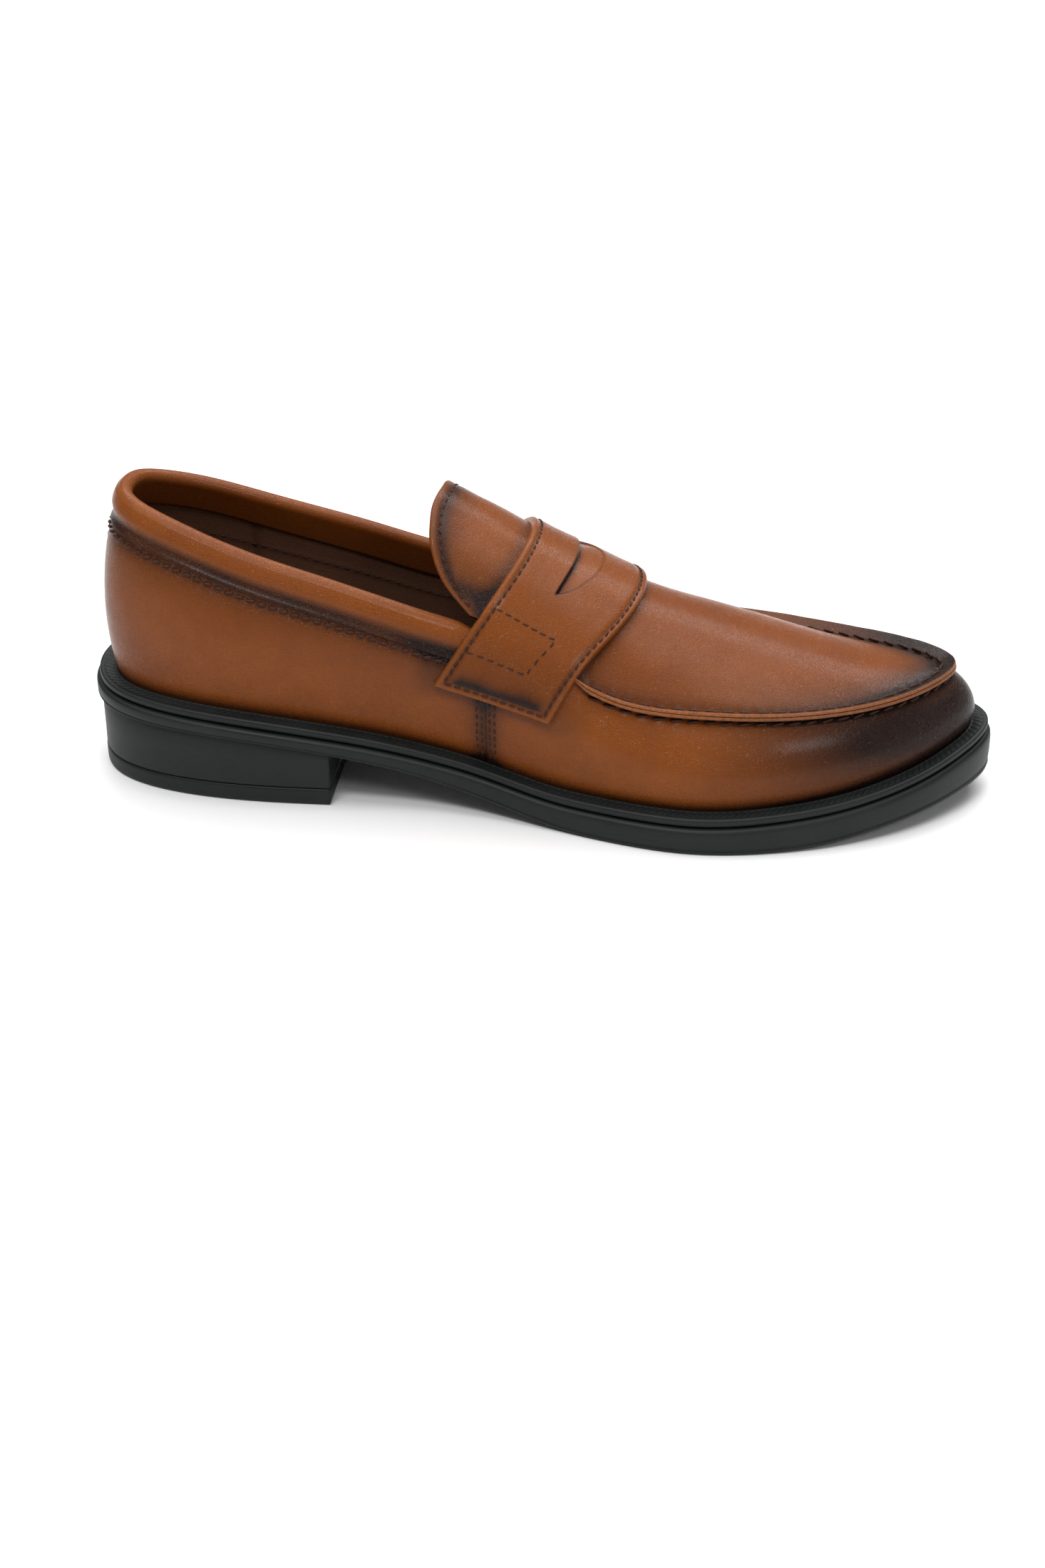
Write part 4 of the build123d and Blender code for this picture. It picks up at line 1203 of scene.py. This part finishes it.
def build_collar_threads():
    us = round_heel(-24, 1500)
    path, normal = wall_row(us, collar_t(us, COLLAR_HEIGHT) - 0.034, 0.12)
    thread("collar_thread", [path], [normal], length=3.1, pitch=3.7, radius=0.46, seed=0.9, tilt=0.26)
    us = round_heel(-30, 1500)
    path, normal = wall_row(us, collar_t(us, COLLAR_HEIGHT) - 0.01 - 9 / 55, LINING_DEPTH * -1)
    thread("lining_thread", [path], [-normal], length=2.4, pitch=3.6, radius=0.3, seed=1.9)
    paths, normals = [], []
    for u in (-0.13, 0.13):
        us = np.full(60, u)
        path, normal = wall_row(us, np.linspace(0.05, 0.74, 60))
        paths.append(path)
        normals.append(normal)
    thread("heel_seam_thread", paths, normals, length=2.2, pitch=3.2, radius=0.3, seed=2.6)


def strap_line(a_values, q_values, lift=0.0):
    """Path on the strap's top from its own a and q, with surface normals."""
    a_values, q_values = np.broadcast_arrays(np.asarray(a_values, float), np.asarray(q_values, float))
    x, w = strap_position(a_values.copy(), q_values.copy())
    nudge = 0.01
    y, z = from_table(SADDLE_Y, x, w), from_table(SADDLE_Z, x, w)
    y2, z2 = from_table(SADDLE_Y, x, w + nudge), from_table(SADDLE_Z, x, w + nudge)
    y3, z3 = from_table(SADDLE_Y, x + 1, w), from_table(SADDLE_Z, x + 1, w)
    across = np.stack([0 * x, y2 - y, z2 - z], -1)
    forward = np.stack([1 + 0 * x, y3 - y, z3 - z], -1)
    normal = np.cross(forward, across)
    normal /= np.linalg.norm(normal, axis=-1, keepdims=True)
    normal *= np.sign(normal[..., 2:3] + 1e-6)
    return np.stack([x, y, z], -1) + normal * (STRAP_LIFT + STRAP_THICK - 0.12 + lift), normal


def build_strap_threads():
    inset = ROW_INSET / 41
    hem = ROW_INSET / 82
    rows = []
    span = np.linspace(-1 + hem, 1 - hem, 400)
    rows.append(strap_line(inset, span))
    rows.append(strap_line(1 - inset, span))
    for side in (-1, 1):
        rows.append(strap_line(np.linspace(inset, 1 - inset, 60), side * (1 - hem)))
        for q in (0.80, 0.585):
            rows.append(strap_line(np.linspace(inset, 0.62, 60), side * q))
        rows.append(strap_line(0.62, side * np.linspace(0.80, 0.585, 40)))
    paths, normals = [], []
    for row, ups in rows:
        path = even_path(row, 0.5)
        at, source = np.linspace(0, 1, len(path)), np.linspace(0, 1, len(ups))
        paths.append(path)
        normals.append(np.stack([np.interp(at, source, ups[:, c]) for c in range(3)], -1))
    thread("strap_thread", paths, normals, length=2.3, pitch=3.0, radius=0.3, seed=0.2, tilt=0.12)


def build_tongue_thread():
    inset = 3.6
    rows = tongue_top.shape[0]
    path, normal = [], []
    for r in range(5, rows - 5):
        x_line = tongue_top[r, :, 0]
        target = tongue_rear[r, 0] + inset
        k = int(np.argmin(np.abs(x_line - target)))
        path.append(tongue_top[r, k])
        normal.append(tongue_normal[r, k])
    path, normal = np.array(path), np.array(normal)
    piece = thread("tongue_thread", [path], [normal], body=None, length=2.3, pitch=3.2, radius=0.3, seed=1.1)
    return piece


build_seam_threads()
build_side_threads()
build_collar_threads()
build_strap_threads()
tongue_thread = build_tongue_thread()

for piece in (tongue, tongue_thread):
    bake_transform(piece)

# ---- carried-over inner pieces ----
INNER_LOOKS = {
    "insole_board": board_fibre, "cork_filler": cork_grain,
    "shank": steel_brushed, "heel_nails": steel_brushed,
    "heel_pad": foam_cells, "collar_foam": foam_cells, "heel_counter": felt, "toe_puff": felt,
    "inner_doubler": felt, "outer_doubler": felt,
}
for node_name, look in INNER_LOOKS.items():
    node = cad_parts[node_name]
    node.data.materials.clear()
    node.data.materials.append(look)


# ---- stage, light, camera ----
def build_stage():
    mesh = bpy.data.meshes.new("floor")
    size = 6.0
    corners = [(-size, -size, 0), (size, -size, 0), (size, size, 0), (-size, size, 0)]
    mesh.from_pydata(corners, [], [(0, 1, 2, 3)])
    floor = bpy.data.objects.new("floor", mesh)
    bpy.context.scene.collection.objects.link(floor)
    floor.location.z = cad_box[0][2]
    n = Nodes("pale_floor")
    n.shader.inputs["Base Color"].default_value = (0.9, 0.9, 0.9, 1)
    n.shader.inputs["Roughness"].default_value = 0.55
    floor.data.materials.append(n.material)


def area_light(name, place, size, power, aim=(0.0, 0.0, 0.04)):
    light = bpy.data.lights.new(name, "AREA")
    light.shape = "RECTANGLE"
    light.size, light.size_y = size
    light.energy = power
    lamp = bpy.data.objects.new(name, light)
    lamp.location = place
    lamp.rotation_euler = (Vector(aim) - Vector(place)).to_track_quat("-Z", "Y").to_euler()
    bpy.context.scene.collection.objects.link(lamp)


def build_lights():
    world = bpy.data.worlds.new("studio")
    bpy.context.scene.world = world
    world.use_nodes = True
    world.node_tree.nodes["Background"].inputs["Color"].default_value = (1, 1, 1, 1)
    world.node_tree.nodes["Background"].inputs["Strength"].default_value = 0.2
    area_light("top", (0.0, 0.3, 1.9), (2.6, 2.0), 46)
    area_light("key", (-0.2, -0.62, 1.1), (0.5, 0.22), 6)
    area_light("front", (0.75, -0.95, 0.9), (0.3, 0.3), 3)
    area_light("back", (0.1, 1.15, 1.25), (1.8, 0.5), 16)
    bpy.context.scene.view_settings.view_transform = "Standard"


def build_camera():
    data = bpy.data.cameras.new("camera")
    data.sensor_width = 36.0
    data.lens = 56.1
    camera = bpy.data.objects.new("camera", data)
    right = Vector((0.99395, 0.10985, 0.00071))
    up = Vector((-0.05436, 0.48617, 0.87217))
    back = Vector((0.09546, -0.86693, 0.48920))
    turn = Matrix((right, up, back)).transposed()
    camera.matrix_world = Matrix.Translation((0.07442, -0.72785, 0.4033)) @ turn.to_4x4()
    bpy.context.scene.collection.objects.link(camera)
    bpy.context.scene.camera = camera


build_stage()
build_lights()
build_camera()
